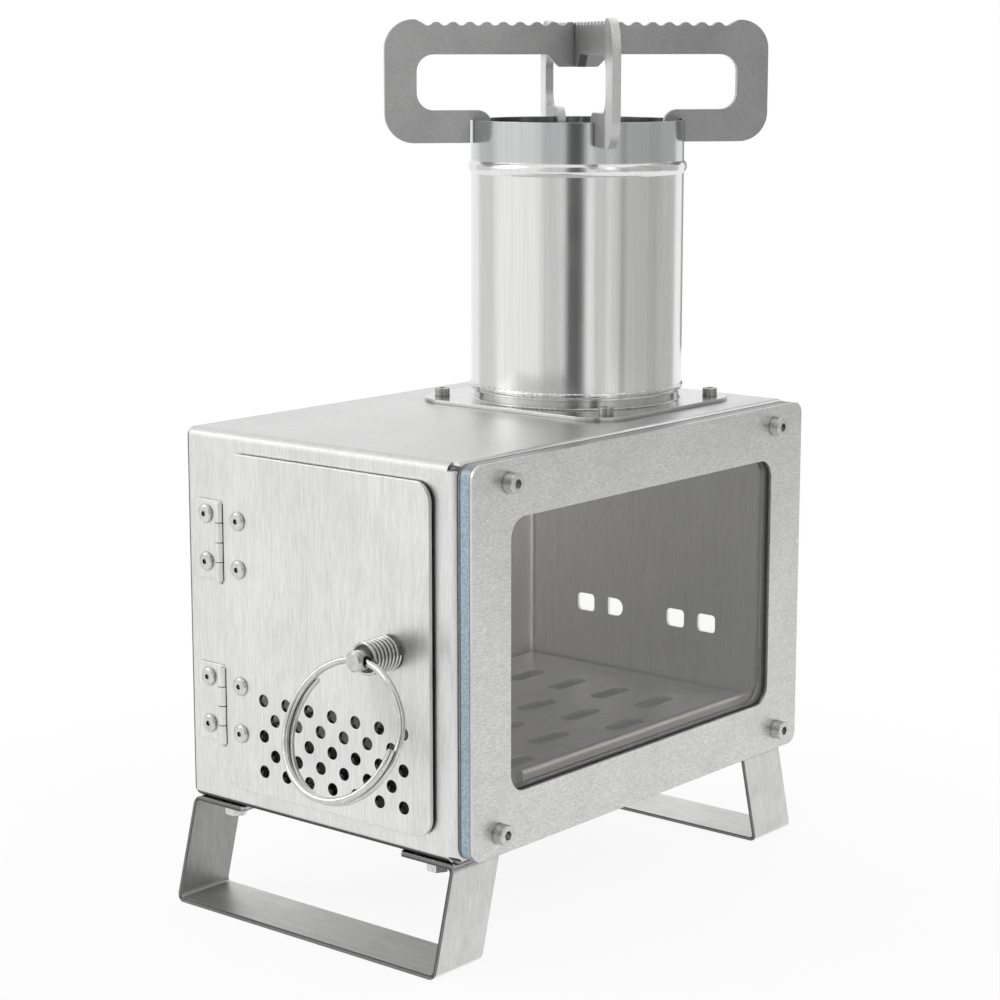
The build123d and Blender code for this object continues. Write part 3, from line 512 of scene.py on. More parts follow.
        # Painted shade and painted highlights on the bends, which are also rougher
        for bend in self.painted_bends:
            toward = graph.toward(bend.direction)
            color = graph.shade(color, graph.between(toward, *self.bend_span, 1.0, bend.tone))
            matt = graph.between(toward, *self.bend_matt_span, 0.0, self.bend_roughness)
            rough = graph.math("ADD", rough, matt)
        relief = graph.bump(fine, self.relief, self.relief_height, rounded)
        return graph.finish(self.placed(graph, color), rough, relief)


@dataclass(frozen=True)
class PolishedTube:
    """Polished rolled tube, with fine drawn lines up its length and a faint seam behind."""

    name: str
    low: Vector
    high: Vector
    tone: Color = (0.78, 0.78, 0.775)
    roughness: float = 0.13
    roughness_drop: float = 0.04
    haze_dulls: float = 0.09
    anisotropy: float = 0.45
    lines: Noise = Noise(1500.0, 3.0, 0.6)
    line_stretch: Triple = (1.0, 1.0, 0.012)
    line_contrast: float = 0.05
    bands: Noise = Noise(150.0, 2.0, 0.5, 5.0)
    band_stretch: Triple = (1.0, 1.0, 0.02)
    band_tones: Span = (0.97, 1.02)
    haze: Noise = Noise(45.0, 3.0, 0.65)
    collar_height: float = 0.0146
    collar_fade: float = 0.0006
    collar_tone: Color = (0.76, 0.77, 0.78)
    bead_low: float = 0.0125
    bead_high: float = 0.0148
    bead_glint_tone: Color = (0.7, 0.7, 0.71)
    bead_specks: Noise = Noise(950.0, 2.0, 0.7, 8.0)
    bead_span: Span = (0.4, 0.6)
    seam_angle: float = 2.2
    seam_span: Span = (0.008, 0.022)
    seam_tone: float = 0.72
    seam_dulls: float = 0.2
    seam_depth: float = 0.8
    crevice_shade_reach: float = 0.002
    crevice_shade_tone: float = 0.55
    edge_radius: float = 0.0003
    edge_light: float = 0.3
    edge_tone: Color = (0.95, 0.95, 0.945)
    relief: float = 0.12
    relief_height: float = 0.00005
    seed: float = 0.0

    def seam(self, graph: Graph) -> Socket:
        """Tell the folded seam up the tube's far side.

        Args:
            graph: the material's graph.

        Returns:
            1 on the seam and 0 elsewhere.
        """
        around = graph.vector("SUBTRACT", graph.place, tuple((self.low + self.high) / 2)).outputs[0]
        angle = graph.math("ARCTAN2", graph.axis(around, 1), graph.axis(around, 0))
        off_seam = graph.math("ABSOLUTE", graph.math("SUBTRACT", angle, self.seam_angle))
        return graph.between(off_seam, *self.seam_span, 1.0, 0.0)

    def rings(self, graph: Graph, color: Socket) -> Socket:
        """Shade the collar over the upper bead, and paint glints on the lower bead by darkening specks of it.

        Args:
            graph: the material's graph.
            color: the tube's colour.

        Returns:
            The colour with both.
        """
        level = graph.axis(graph.place, 2)
        collar_start = self.high.z - self.collar_height
        collar = graph.between(level, collar_start - self.collar_fade, collar_start + self.collar_fade)
        color = graph.blend(collar, color, graph.shade(color, self.collar_tone))
        above = graph.math("GREATER_THAN", level, self.low.z + self.bead_low)
        below = graph.math("LESS_THAN", level, self.low.z + self.bead_high)
        # Painted glints: specks on the lower bead, darker than the metal between them
        speck = graph.between(graph.noise(self.bead_specks, self.seed), *self.bead_span)
        return graph.blend(graph.product(above, below, speck), color, graph.shade(color, self.bead_glint_tone))

    def material(self) -> bpy.types.Material:
        """Build the finish.

        Returns:
            The material.
        """
        graph = Graph(self.name)
        fine = graph.noise(self.lines, self.seed, self.line_stretch)
        wide = graph.noise(self.bands, self.seed, self.band_stretch)
        light = graph.product(
            graph.varied(fine, self.line_contrast, BROAD), graph.between(wide, *NARROW, *self.band_tones)
        )
        seam = self.seam(graph)
        rounded = graph.rounded(self.edge_radius)
        color = graph.shade(self.tone, light)
        # Painted shade in corners and joints
        color = graph.shade(color, graph.crevice_shade(self.crevice_shade_reach, self.crevice_shade_tone))
        color = graph.shade(color, graph.faded(seam, 1.0, self.seam_tone))
        # Edges brightened, as wear and as a painted highlight
        color = graph.paint_wear_and_highlight(self.rings(graph, color), graph.edge(rounded), self.edge_light, self.edge_tone)
        haze = graph.noise(self.haze, self.seed)
        rough = graph.plus(self.roughness - self.roughness_drop, haze, self.haze_dulls)
        rough = graph.plus(rough, seam, self.seam_dulls)
        height = graph.plus(fine, seam, -self.seam_depth)
        graph.shader.inputs["Anisotropic"].default_value = self.anisotropy
        tangent = graph.node("Tangent", direction_type="RADIAL", axis="Z")
        graph.feed(graph.shader.inputs["Tangent"], tangent.outputs[0])
        return graph.finish(color, rough, graph.bump(height, self.relief, self.relief_height, rounded))


@dataclass(frozen=True)
class BlastedPlate:
    """Thick laser-cut plate with matt faces and bright cut edges."""

    name: str
    tone: Color = (0.385, 0.385, 0.383)
    cut: Color = (0.6, 0.6, 0.595)
    face: Triple = BACK
    face_span: Span = (0.72, 0.9)
    roughness: float = 0.46
    roughness_drop: float = 0.08
    sand_dulls: float = 0.16
    wear_polishes: float = 0.15
    sand: Noise = Noise(3000.0, 3.0, 0.7)
    grain: float = 0.24
    clouds: Noise = Noise(45.0, 3.0, 0.6, 7.0)
    blotch: float = 0.07
    drags: Noise = Noise(700.0, 2.0, 0.6, 2.0)
    drag_stretch: Triple = (1.0, 1.0, 0.2)
    laser: Noise = Noise(2600.0, 1.0, 0.5, 4.0)
    laser_tones: Span = (0.82, 1.08)
    painted_light_drift: float = 0.0
    drift_span: Span = (-0.05, 0.04)
    middle: Vector | None = None
    end_span: Span = (0.056, 0.062)
    end_highlight: Color = (0.8, 0.8, 0.795)
    top_span: Span = (0.006, 0.011)
    top_share: float = 0.25
    crevice_shade_reach: float = 0.0025
    crevice_shade_tone: float = 0.6
    edge_radius: float = 0.0004
    edge_light: float = 0.3
    wear_span: Span = (0.3, 0.6)
    wear_tones: Span = (0.4, 1.0)
    edge_tone: Color = (0.85, 0.85, 0.845)
    relief: float = 0.3
    relief_height: float = 0.00006
    seed: float = 0.0

    def plain(self, graph: Graph) -> Value:
        """The faces' colour before the grain, with painted light: paler towards one side, and a painted
        highlight at the two ends.

        Args:
            graph: the material's graph.

        Returns:
            The colour.
        """
        color = self.tone
        # Painted light: paler towards one side
        if self.painted_light_drift > 0.0:
            across = graph.axis(graph.place, 0)
            worn_and_lit = graph.between(across, *self.drift_span, 1.0 + self.painted_light_drift, 1.0 - self.painted_light_drift)
            color = graph.shade(color, worn_and_lit)
        # A painted highlight at the two ends, below the top
        if self.middle:
            away = graph.vector("SUBTRACT", graph.place, tuple(self.middle)).outputs[0]
            level_away = graph.vector("MULTIPLY", away, (1.0, 1.0, 0.0)).outputs[0]
            at_end = graph.between(graph.vector("LENGTH", level_away).outputs["Value"], *self.end_span)
            below_top = graph.between(graph.axis(away, 2), *self.top_span, 1.0, self.top_share)
            color = graph.blend(graph.product(at_end, below_top), color, self.end_highlight)
        return color

    def material(self) -> bpy.types.Material:
        """Build the finish.

        Returns:
            The material.
        """
        graph = Graph(self.name)
        sand = graph.noise(self.sand, self.seed)
        drag = graph.noise(self.drags, self.seed, self.drag_stretch)
        cloud = graph.noise(self.clouds, self.seed)
        light = graph.product(graph.varied(sand, self.grain, BROAD), graph.varied(cloud, self.blotch))
        cut_light = graph.between(graph.noise(self.laser, self.seed), *NARROW, *self.laser_tones)
        is_face = graph.between(graph.faces(self.face), *self.face_span)
        rounded = graph.rounded(self.edge_radius)
        patchy = graph.between(drag, *self.wear_span, *self.wear_tones)
        worn_and_lit = graph.product(graph.edge(rounded), patchy)
        faces = graph.shade(self.plain(graph), light)
        color = graph.blend(is_face, graph.shade(self.cut, cut_light), faces)
        # Painted shade in corners and joints
        color = graph.shade(color, graph.crevice_shade(self.crevice_shade_reach, self.crevice_shade_tone))
        # Edges brightened, as wear and as a painted highlight
        color = graph.paint_wear_and_highlight(color, worn_and_lit, self.edge_light, self.edge_tone)
        rough = graph.plus(self.roughness - self.roughness_drop, sand, self.sand_dulls)
        rough = graph.plus(rough, worn_and_lit, -self.wear_polishes, clamp=True)
        return graph.finish(color, rough, graph.bump(sand, self.relief, self.relief_height, rounded))


@dataclass(frozen=True)
class TurnedSteel:
    """Small turned and plated parts, with tool marks, painted shade in their recesses, and rims brightened as
    wear and as a painted highlight.
    """

    name: str
    tone: Color = (0.62, 0.62, 0.61)
    marks: Noise = Noise(2600.0, 2.0, 0.6)
    mark_tones: Span = (0.84, 1.12)
    axis: Grain = Grain.UPRIGHT
    stains: Noise = Noise(420.0, 3.0, 0.65)
    stain_tones: Span = (0.9, 1.06)
    recess_shade: float = 0.25
    recess_shade_reach: float = 0.0016
    roughness: float = 0.27
    roughness_drop: float = 0.06
    stain_dulls: float = 0.14
    wear_polishes: float = 0.08
    edge_radius: float = 0.00025
    edge_light: float = 0.45
    relief: float = 0.18
    relief_height: float = 0.00004
    seed: float = 0.0

    def material(self) -> bpy.types.Material:
        """Build the finish.

        Returns:
            The material.
        """
        graph = Graph(self.name)
        marks = graph.noise(self.marks, self.seed, self.axis.value)
        stain = graph.noise(self.stains, self.seed)
        rounded = graph.rounded(self.edge_radius)
        worn_and_lit = graph.edge(rounded)
        color = graph.shade(self.tone, graph.between(marks, *BROAD, *self.mark_tones))
        color = graph.shade(color, graph.between(stain, *NARROW, *self.stain_tones))
        # Painted shade in the recesses
        color = graph.shade(color, graph.crevice_shade(self.recess_shade_reach, self.recess_shade))
        rough = graph.plus(self.roughness - self.roughness_drop, stain, self.stain_dulls)
        rough = graph.plus(rough, worn_and_lit, -self.wear_polishes, clamp=True)
        relief = graph.bump(marks, self.relief, self.relief_height, rounded)
        # Rims brightened, as wear and as a painted highlight
        return graph.finish(graph.paint_wear_and_highlight(color, worn_and_lit, self.edge_light), rough, relief)


@dataclass(frozen=True)
class DrawnWire:
    """Bright drawn wire with faint die lines and dull spots where it rubs."""

    name: str
    tone: Color = (0.64, 0.64, 0.63)
    roughness: float = 0.16
    roughness_drop: float = 0.05
    spot_dulls: float = 0.14
    lines: Noise = Noise(1900.0, 2.0, 0.5)
    line_tones: Span = (0.92, 1.06)
    spots: Noise = Noise(260.0, 3.0, 0.7, 6.0)
    spot_span: Span = (0.35, 0.7)
    spot_tones: Span = (0.88, 1.04)
    crevice_shade_reach: float = 0.002
    crevice_shade_tone: float = 0.18
    relief: float = 0.1
    relief_height: float = 0.00004
    seed: float = 0.0

    def material(self) -> bpy.types.Material:
        """Build the finish.

        Returns:
            The material.
        """
        graph = Graph(self.name)
        lines = graph.noise(self.lines, self.seed)
        spots = graph.noise(self.spots, self.seed)
        color = graph.shade(self.tone, graph.between(lines, *NARROW, *self.line_tones))
        color = graph.shade(color, graph.between(spots, *self.spot_span, *self.spot_tones))
        # Painted shade in corners and joints
        color = graph.shade(color, graph.crevice_shade(self.crevice_shade_reach, self.crevice_shade_tone))
        rough = graph.plus(self.roughness - self.roughness_drop, spots, self.spot_dulls)
        return graph.finish(color, rough, graph.bump(lines, self.relief, self.relief_height))


@dataclass(frozen=True)
class CeramicGlass:
    """Clear heat-proof glass, smooth on its faces and ground pale blue on its upright edges, with painted
    shade on its level edges and where its edges meet its faces.
    """

    name: str
    low: Vector
    high: Vector
    face_span: Span = (0.5, 0.9)
    level_span: Span = (0.5, 0.8)
    clear: Color = (0.96, 0.96, 0.955)
    ground: Color = (0.42, 0.54, 0.62)
    level_edge_shade: Color = (0.3, 0.31, 0.315)
    chips: Noise = Noise(1500.0, 2.0, 0.6)
    chip_contrast: float = 0.25
    film: Noise = Noise(22.0, 3.0, 0.6)
    film_tones: Span = (0.985, 1.0)
    joint_width: float = 0.0004
    joint_shade: float = 0.15
    smear: float = 0.03
    smear_span: Span = (0.4, 0.75)
    edge_roughness: float = 0.32
    edge_clearness: float = 0.15
    refraction: float = 1.5
    relief: float = 0.2
    relief_height: float = 0.00005
    seed: float = 0.0

    def material(self) -> bpy.types.Material:
        """Build the finish.

        Returns:
            The material.
        """
        graph = Graph(self.name)
        is_face = graph.between(graph.faces(EAST), *self.face_span)
        chips = graph.noise(self.chips, self.seed)
        film = graph.noise(self.film, self.seed)
        level = graph.between(graph.faces(UP), *self.level_span)
        # Painted shade: the level edges darker and grey
        edge = graph.blend(level, self.ground, self.level_edge_shade)
        edge = graph.shade(edge, graph.varied(chips, self.chip_contrast))
        half = (self.high.x - self.low.x) / 2
        away = graph.off_middle(self.low, self.high)
        # Painted shade where the edges meet the faces, at the joints with the parts beside the glass
        edge = graph.shade(edge, graph.between(away, half - self.joint_width, half, 1.0, self.joint_shade))
        smooth = graph.shade(self.clear, graph.between(film, *NARROW, *self.film_tones))
        face_rough = graph.between(film, *self.smear_span, 0.0, self.smear)
        rough = graph.math("ADD", face_rough, graph.faded(is_face, self.edge_roughness, 0.0))
        through = graph.faded(is_face, self.edge_clearness, 1.0)
        graph.feed(graph.shader.inputs["Transmission Weight"], through)
        graph.shader.inputs["IOR"].default_value = self.refraction
        height = graph.product(chips, graph.faded(is_face, 1.0, 0.0))
        relief = graph.bump(height, self.relief, self.relief_height)
        return graph.finish(graph.blend(is_face, edge, smooth), rough, relief, 0.0)


@dataclass(frozen=True)
class FibreGasket:
    """Dark pressed-fibre gasket with short fibres and a dry face."""

    name: str
    low: Vector
    high: Vector
    tone: Color = (0.22, 0.22, 0.225)
    fibre: Color = (0.42, 0.42, 0.42)
    strands: Noise = Noise(2200.0, 3.0, 0.7)
    strand_span: Span = (0.45, 0.75)
    patches: Noise = Noise(240.0, 2.0, 0.6)
    patch_tones: Span = (0.8, 1.15)
    dryness: Span = (0.78, 0.95)
    joint_start: float = 0.3
    joint_shade: float = 0.1
    relief: float = 0.6
    relief_height: float = 0.0001
    seed: float = 0.0

    def material(self) -> bpy.types.Material:
        """Build the finish.

        Returns:
            The material.
        """
        graph = Graph(self.name)
        strands = graph.noise(self.strands, self.seed, Grain.SHORT_ALONG.value)
        patches = graph.noise(self.patches, self.seed)
        color = graph.blend(graph.between(strands, *self.strand_span), self.tone, self.fibre)
        color = graph.shade(color, graph.between(patches, *NARROW, *self.patch_tones))
        half = (self.high.x - self.low.x) / 2
        away = graph.off_middle(self.low, self.high)
        # Painted shade towards both sides, where the gasket meets the parts beside it
        color = graph.shade(color, graph.between(away, half * self.joint_start, half, 1.0, self.joint_shade))
        rough = graph.between(patches, *NARROW, *self.dryness)
        return graph.finish(color, rough, graph.bump(strands, self.relief, self.relief_height), 0.0)


def dress(finish: Finish, slot: str, *pieces: bpy.types.Object | str) -> list[str]:
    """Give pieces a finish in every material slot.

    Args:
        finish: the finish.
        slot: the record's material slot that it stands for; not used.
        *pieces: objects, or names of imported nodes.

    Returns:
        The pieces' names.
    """
    material = finish.material()
    names = []
    for piece in pieces:
        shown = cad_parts[piece] if isinstance(piece, str) else piece
        if not shown.material_slots:
            shown.data.materials.append(material)
        for held in shown.material_slots:
            held.material = material
        names.append(shown.name)
    return names


def linked(name: str, data: bpy.types.ID) -> bpy.types.Object:
    """Put data into the scene as a new object.

    Args:
        name: the object's name.
        data: its mesh, light or camera.

    Returns:
        The object.
    """
    made = bpy.data.objects.new(name, data)
    bpy.context.scene.collection.objects.link(made)
    return made


def turned(name: str, profile: list[Span], place: Vector, along: Vector, steps: int) -> bpy.types.Object:
    """Turn a profile about an axis into a closed, smooth mesh.

    Args:
        name: the piece's name.
        profile: pairs of radius and distance along the axis, which start and end on it.
        place: where the axis starts.
        along: the axis's unit direction.
        steps: how many facets go around.

    Returns:
        The new object, in the scene.
    """
    side = along.orthogonal().normalized()
    mesh = bpy.data.meshes.new(name)
    work = bmesh.new()
    points = [work.verts.new(place + along * height + side * radius) for radius, height in profile]
    for before, after in zip(points, points[1:]):
        work.edges.new((before, after))
    outline = work.verts[:] + work.edges[:]
    bmesh.ops.spin(
        work, geom=outline, cent=place, axis=along, angle=math.tau, steps=steps, use_merge=True
    )
    bmesh.ops.remove_doubles(work, verts=work.verts[:], dist=1e-6)
    bmesh.ops.recalc_face_normals(work, faces=work.faces[:])
    for part in work.faces:
        part.smooth = True
    work.to_mesh(mesh)
    work.free()
    return linked(name, mesh)


def sheet(name: str, corners: list[Vector], graph: Graph) -> bpy.types.Object:
    """Put a flat piece of the stage into the scene.

    Args:
        name: the piece's name.
        corners: its four corners in order.
        graph: the graph of its material.

    Returns:
        The piece.
    """
    mesh = bpy.data.meshes.new(name)
    mesh.from_pydata(corners, [], [(0, 1, 2, 3)])
    mesh.materials.append(graph.material)
    made = linked(name, mesh)
    return made


@dataclass
class Firebox:
    """The folded body, its slotted grate with its legs, and the guard on the grate."""

    skin: float = 0.0011
    window_side: float = 0.001
    doorway_from: Triple = (0.0225, -0.001, 0.01)
    doorway_to: Triple = (-0.0125, 0.002, -0.01)
    notch_from: Triple = (-0.0042, -0.001, -0.0026)
    notch_to: Triple = (0.001, 0.0026, 0.001)
    # Painted shade on the left and bottom bends, and a painted highlight on the top front bend
    painted_bends: tuple[PaintedBend, ...] = (
        PaintedBend((-0.76, -0.65, 0.0), 0.16),
        PaintedBend((0.0, -0.70711, 0.70711), 1.05),
        PaintedBend((0.0, -0.6, -0.8), 0.18),
    )

    def build(self) -> list[str]:
        """Dress the body, the grate with its legs, and the guard.

        Returns:
            The names of its pieces.
        """
        pieces: list[str] = []
        low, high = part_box("firebox_shell")
        margin = Vector((self.skin,) * 3)
        corner = Vector((high.x, low.y, high.z))
        shell = BrushedSheet(
            "body_sheet",
            tone=(0.755, 0.755, 0.75),
            flat_grain=Grain.MOTTLED,
            # Painted shade on the level faces, such as the roof
            painted_level_light=0.84,
            painted_bends=self.painted_bends,
            # Painted shade inside the body, on the doorway's walls and in the open corner
            room=(low + margin, high - margin + Vector(EAST) * self.window_side),
            pierced=(low + Vector(self.doorway_from), corner + Vector(self.doorway_to)),
            notch=(corner + Vector(self.notch_from), corner + Vector(self.notch_to)),
            edge_light=0.1,
            seed=1.0,
        )
        pieces += dress(shell, "sheet_steel", "firebox_shell")
        grate = BrushedSheet("grate_sheet", tone=(0.68, 0.67, 0.65), roughness=0.4, seed=4.0)
        pieces += dress(grate, "sheet_steel", "fire_grate", "grate_legs")
        guard = BrushedSheet("guard_bar", tone=(0.46, 0.44, 0.4), grain=Grain.ALONG, roughness=0.36, seed=5.0)
        pieces += dress(guard, "sheet_steel", "grate_guard")
        return pieces


@dataclass
class Window:
    """The window's gasket, glass and frame plate, with its screws and nuts."""

    def build(self) -> list[str]:
        """Dress the window's layers and fasteners.

        Returns:
            The names of its pieces.
        """
        pieces: list[str] = []
        pieces += dress(FibreGasket("window_gasket", *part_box("glass_gasket")), "gasket", "glass_gasket")
        pieces += dress(CeramicGlass("window_glass", *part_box("window_glass")), "clear_glass", "window_glass")
        plate = BrushedSheet(
            "window_plate",
            tone=PALE,
            grain=Grain.SHORT_ALONG,
            flat_grain=Grain.SHORT_ALONG,
            fineness=3000.0,
            scratch=0.16,
            # Painted glints
            painted_glints=0.4,
            relief=0.45,
            roughness=0.36,
            seed=7.0,
        )
        pieces += dress(plate, "sheet_steel", "window_frame")
        fastener = TurnedSteel("window_fastener", axis=Grain.ACROSS)
        pieces += dress(fastener, "fastener_steel", "window_screws", "window_nuts")
        return pieces


@dataclass
class Flue:
    """The roof flange, its fasteners and the chimney pipe."""

    def build(self) -> list[str]:
        """Dress the flange, its fasteners and the pipe.

        Returns:
            The names of its pieces.
        """
        pieces: list[str] = []
        low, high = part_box("chimney_pipe")
        pieces += dress(PolishedTube("pipe_polish", low, high), "pipe_steel", "chimney_pipe")
        flange = BrushedSheet(
            "flange_sheet",
            tone=PALE,
            flat_grain=Grain.MOTTLED,
            roughness=0.18,
            # Painted shade in the flange's corners, deeper and wider than on the body
            crevice_shade_reach=0.003,
            crevice_shade_tone=0.12,
            seed=11.0,
        )
        pieces += dress(flange, "pipe_steel", "flue_flange")
        fastener = TurnedSteel("flange_fastener", tone=(0.4, 0.4, 0.39))
        pieces += dress(fastener, "fastener_steel", "flange_screws", "flange_nuts")
        return pieces


@dataclass
class PotStand:
    """The two crossed plates over the pipe."""

    turn: float = math.radians(48.6)
    # Painted light that pales the lower plate towards one side
    lower_painted_light_drift: float = 0.18

    def build(self) -> list[str]:
        """Dress the two plates.

        Returns:
            The names of its pieces.
        """
        pieces: list[str] = []
        for index, name in enumerate(("pot_stand_lower_plate", "pot_stand_upper_plate")):
            angle = self.turn + index * math.pi / 2
            face = (math.sin(angle), -math.cos(angle), 0.0)
            low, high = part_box(name)
            finish = BlastedPlate(
                name + "_finish",
                face=face,
                painted_light_drift=0.0 if index else self.lower_painted_light_drift,
                # A painted highlight at the upper plate's two ends
                middle=(low + high) / 2 if index else None,
                seed=13.0 + index,
            )
            pieces += dress(finish, "thick_steel", name)
        return pieces


@dataclass
class Feet:
    """The bent strips under the body and their bolts."""

    skin: Triple = (0.0009, -0.001, 0.0009)

    def build(self) -> list[str]:
        """Dress the feet and their bolts.

        Returns:
            The names of its pieces.
        """
        pieces: list[str] = []
        skin = Vector(self.skin)
        for index, name in enumerate(("front_foot", "rear_foot")):
            low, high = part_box(name)
            strip = BrushedSheet(
                name + "_strip",
                tone=PALE,
                flat_grain=Grain.ACROSS,
                scratch=0.13,
                blotch=0.07,
                relief=0.3,
                roughness=0.38,
                edge_light=0.08,
                # Painted light on the level faces
                painted_level_light=1.75,
                # Painted shade on the inner faces
                room=(low + skin, high - skin),
                room_shade=(0.52, 0.52, 0.52),
                cut_face=BACK,
                seed=17.0 + index,
            )
            pieces += dress(strip, "thick_steel", name)
        fastener = TurnedSteel("foot_fastener", tone=(0.72, 0.72, 0.71))
        pieces += dress(fastener, "fastener_steel", "foot_bolts", "foot_nuts")
        return pieces


@dataclass
class Hinges:
    """Hinge leaves, pins and blind rivets, with the broken-off stem in each rivet."""

    spacing: float = 0.017
    head_radius: float = 0.0033
    stem_radius: float = 0.00082
    stem_sunk: float = 0.0004
    stem_length: float = 0.0012
    stem_steps: int = 20
    stem_outline: tuple[Span, ...] = ((1.0, 0.0), (1.0, 0.8), (0.75, 0.93), (0.55, 0.9), (0.3, 1.0))

    def stems(self, rivets: str, body: str) -> list[bpy.types.Object]:
        """Build the stems left in four rivets.

        Args:
            rivets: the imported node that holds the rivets.
            body: the body they ride on.

        Returns:
            One object for each rivet.
        """
        low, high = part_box(rivets)
        bottom, top = low.z + self.head_radius, high.z - self.head_radius
        outline = ((0.0, 0.0), *self.stem_outline, (0.0, 1.0))
        profile = [(across * self.stem_radius, up * self.stem_length) for across, up in outline]
        front = low.y + self.stem_sunk + self.stem_length
        made = []
        for index, height in enumerate((bottom, bottom + self.spacing, top - self.spacing, top)):
            place = Vector(((low.x + high.x) / 2, front, height))
            stem = turned(f"{rivets}_stem_{index + 1}", profile, place, -Vector(BACK), self.stem_steps)
            made.append(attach(stem, body))
        return made

    def build(self) -> list[str]:
        """Build the stems, and dress them with the leaves, pins and rivets.

        Returns:
            The names of its pieces.
        """
        pieces: list[str] = []
        # The leaves carry a deeper painted shade in their corners
        leaf = BrushedSheet(
            "hinge_leaf", tone=(0.76, 0.76, 0.755), roughness=0.3, crevice_shade_tone=0.12, seed=19.0
        )
        leaves = [
            f"hinge_{height}_{side}_leaf" for height in ("upper", "lower") for side in ("fixed", "door")
        ]
        pieces += dress(leaf, "sheet_steel", *leaves)
        pieces += dress(TurnedSteel("hinge_pin"), "fastener_steel", "hinge_upper_pin", "hinge_lower_pin")
        # Painted shade around the rivet heads, deeper than on the other turned parts
        rivet = TurnedSteel("rivet_head", tone=PALE, recess_shade=0.1, roughness=0.24, seed=21.0)
        pieces += dress(rivet, "rivet_metal", "fixed_leaf_rivets", "door_leaf_rivets")
        stems = self.stems("fixed_leaf_rivets", "stove") + self.stems("door_leaf_rivets", "door")
        # The stems' dark tone is painted shade of the rivets' holes
        shaded_stem = TurnedSteel("rivet_stem", tone=(0.2, 0.2, 0.2), roughness=0.4, seed=22.0)
        pieces += dress(shaded_stem, "rivet_metal", *stems)
        return pieces


@dataclass
class Door:
    """The door panel."""

    vents_from: Triple = (0.012, -0.001, 0.004)
    vents_to: Triple = (0.092, 0.003, 0.042)

    def build(self) -> list[str]:
        """Dress the panel.

        Returns:
            The names of its pieces.
        """
        low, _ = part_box("door_panel")
        panel = BrushedSheet(
            "door_sheet",
            tone=(0.76, 0.76, 0.755),
            edge_light=0.1,
            # Painted shade in the gap around the panel
            crevice_shade_tone=0.15,
            # Painted shade on the walls of the vent holes
            pierced=(low + Vector(self.vents_from), low + Vector(self.vents_to)),
            seed=23.0,
        )
        return dress(panel, "sheet_steel", "door_panel")


@dataclass
class Latch:
    """The latch pin with its spring, tongue, nut and pull ring."""

    push_travel: float = 0.0035

    def coil(self) -> bpy.types.Object:
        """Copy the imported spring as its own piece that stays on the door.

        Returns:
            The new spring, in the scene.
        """
        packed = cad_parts["latch_spring"]
        made = linked("latch_coil", packed.data.copy())
        made.matrix_world = packed.matrix_world.copy()
        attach(made, "door")
        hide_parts("latch_spring")
        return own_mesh(made)

    def build(self) -> list[str]:
        """Build the spring, and dress the latch.

        Returns:
            The names of its pieces.
        """
        pieces: list[str] = []
        spring = DrawnWire("spring_wire", tone=(0.58, 0.58, 0.57), seed=29.0)
        pieces += dress(spring, "bright_wire", self.coil())
        pieces += dress(DrawnWire("ring_wire", roughness=0.13, seed=31.0), "bright_wire", "pull_ring")
        pin = TurnedSteel("latch_steel", axis=Grain.ALONG, seed=33.0)
        pieces += dress(pin, "fastener_steel", "latch_pin", "latch_nut")
        tongue = BrushedSheet("tongue_sheet", tone=(0.55, 0.55, 0.545), seed=35.0)
        pieces += dress(tongue, "sheet_steel", "latch_tongue")
        return pieces


@dataclass
class Card:
    """An upright grey card beside the stove with soft ends, for the metal to reflect."""

    name: str
    azimuth: float
    distance: float
    width: float
    height: float
    tone: float


@dataclass
class Lamp:
    """A soft square lamp that points at the stove."""

    name: str
    place: Triple
    size: float
    power: float
    aim: Triple = (0.0, 0.0, 0.13)


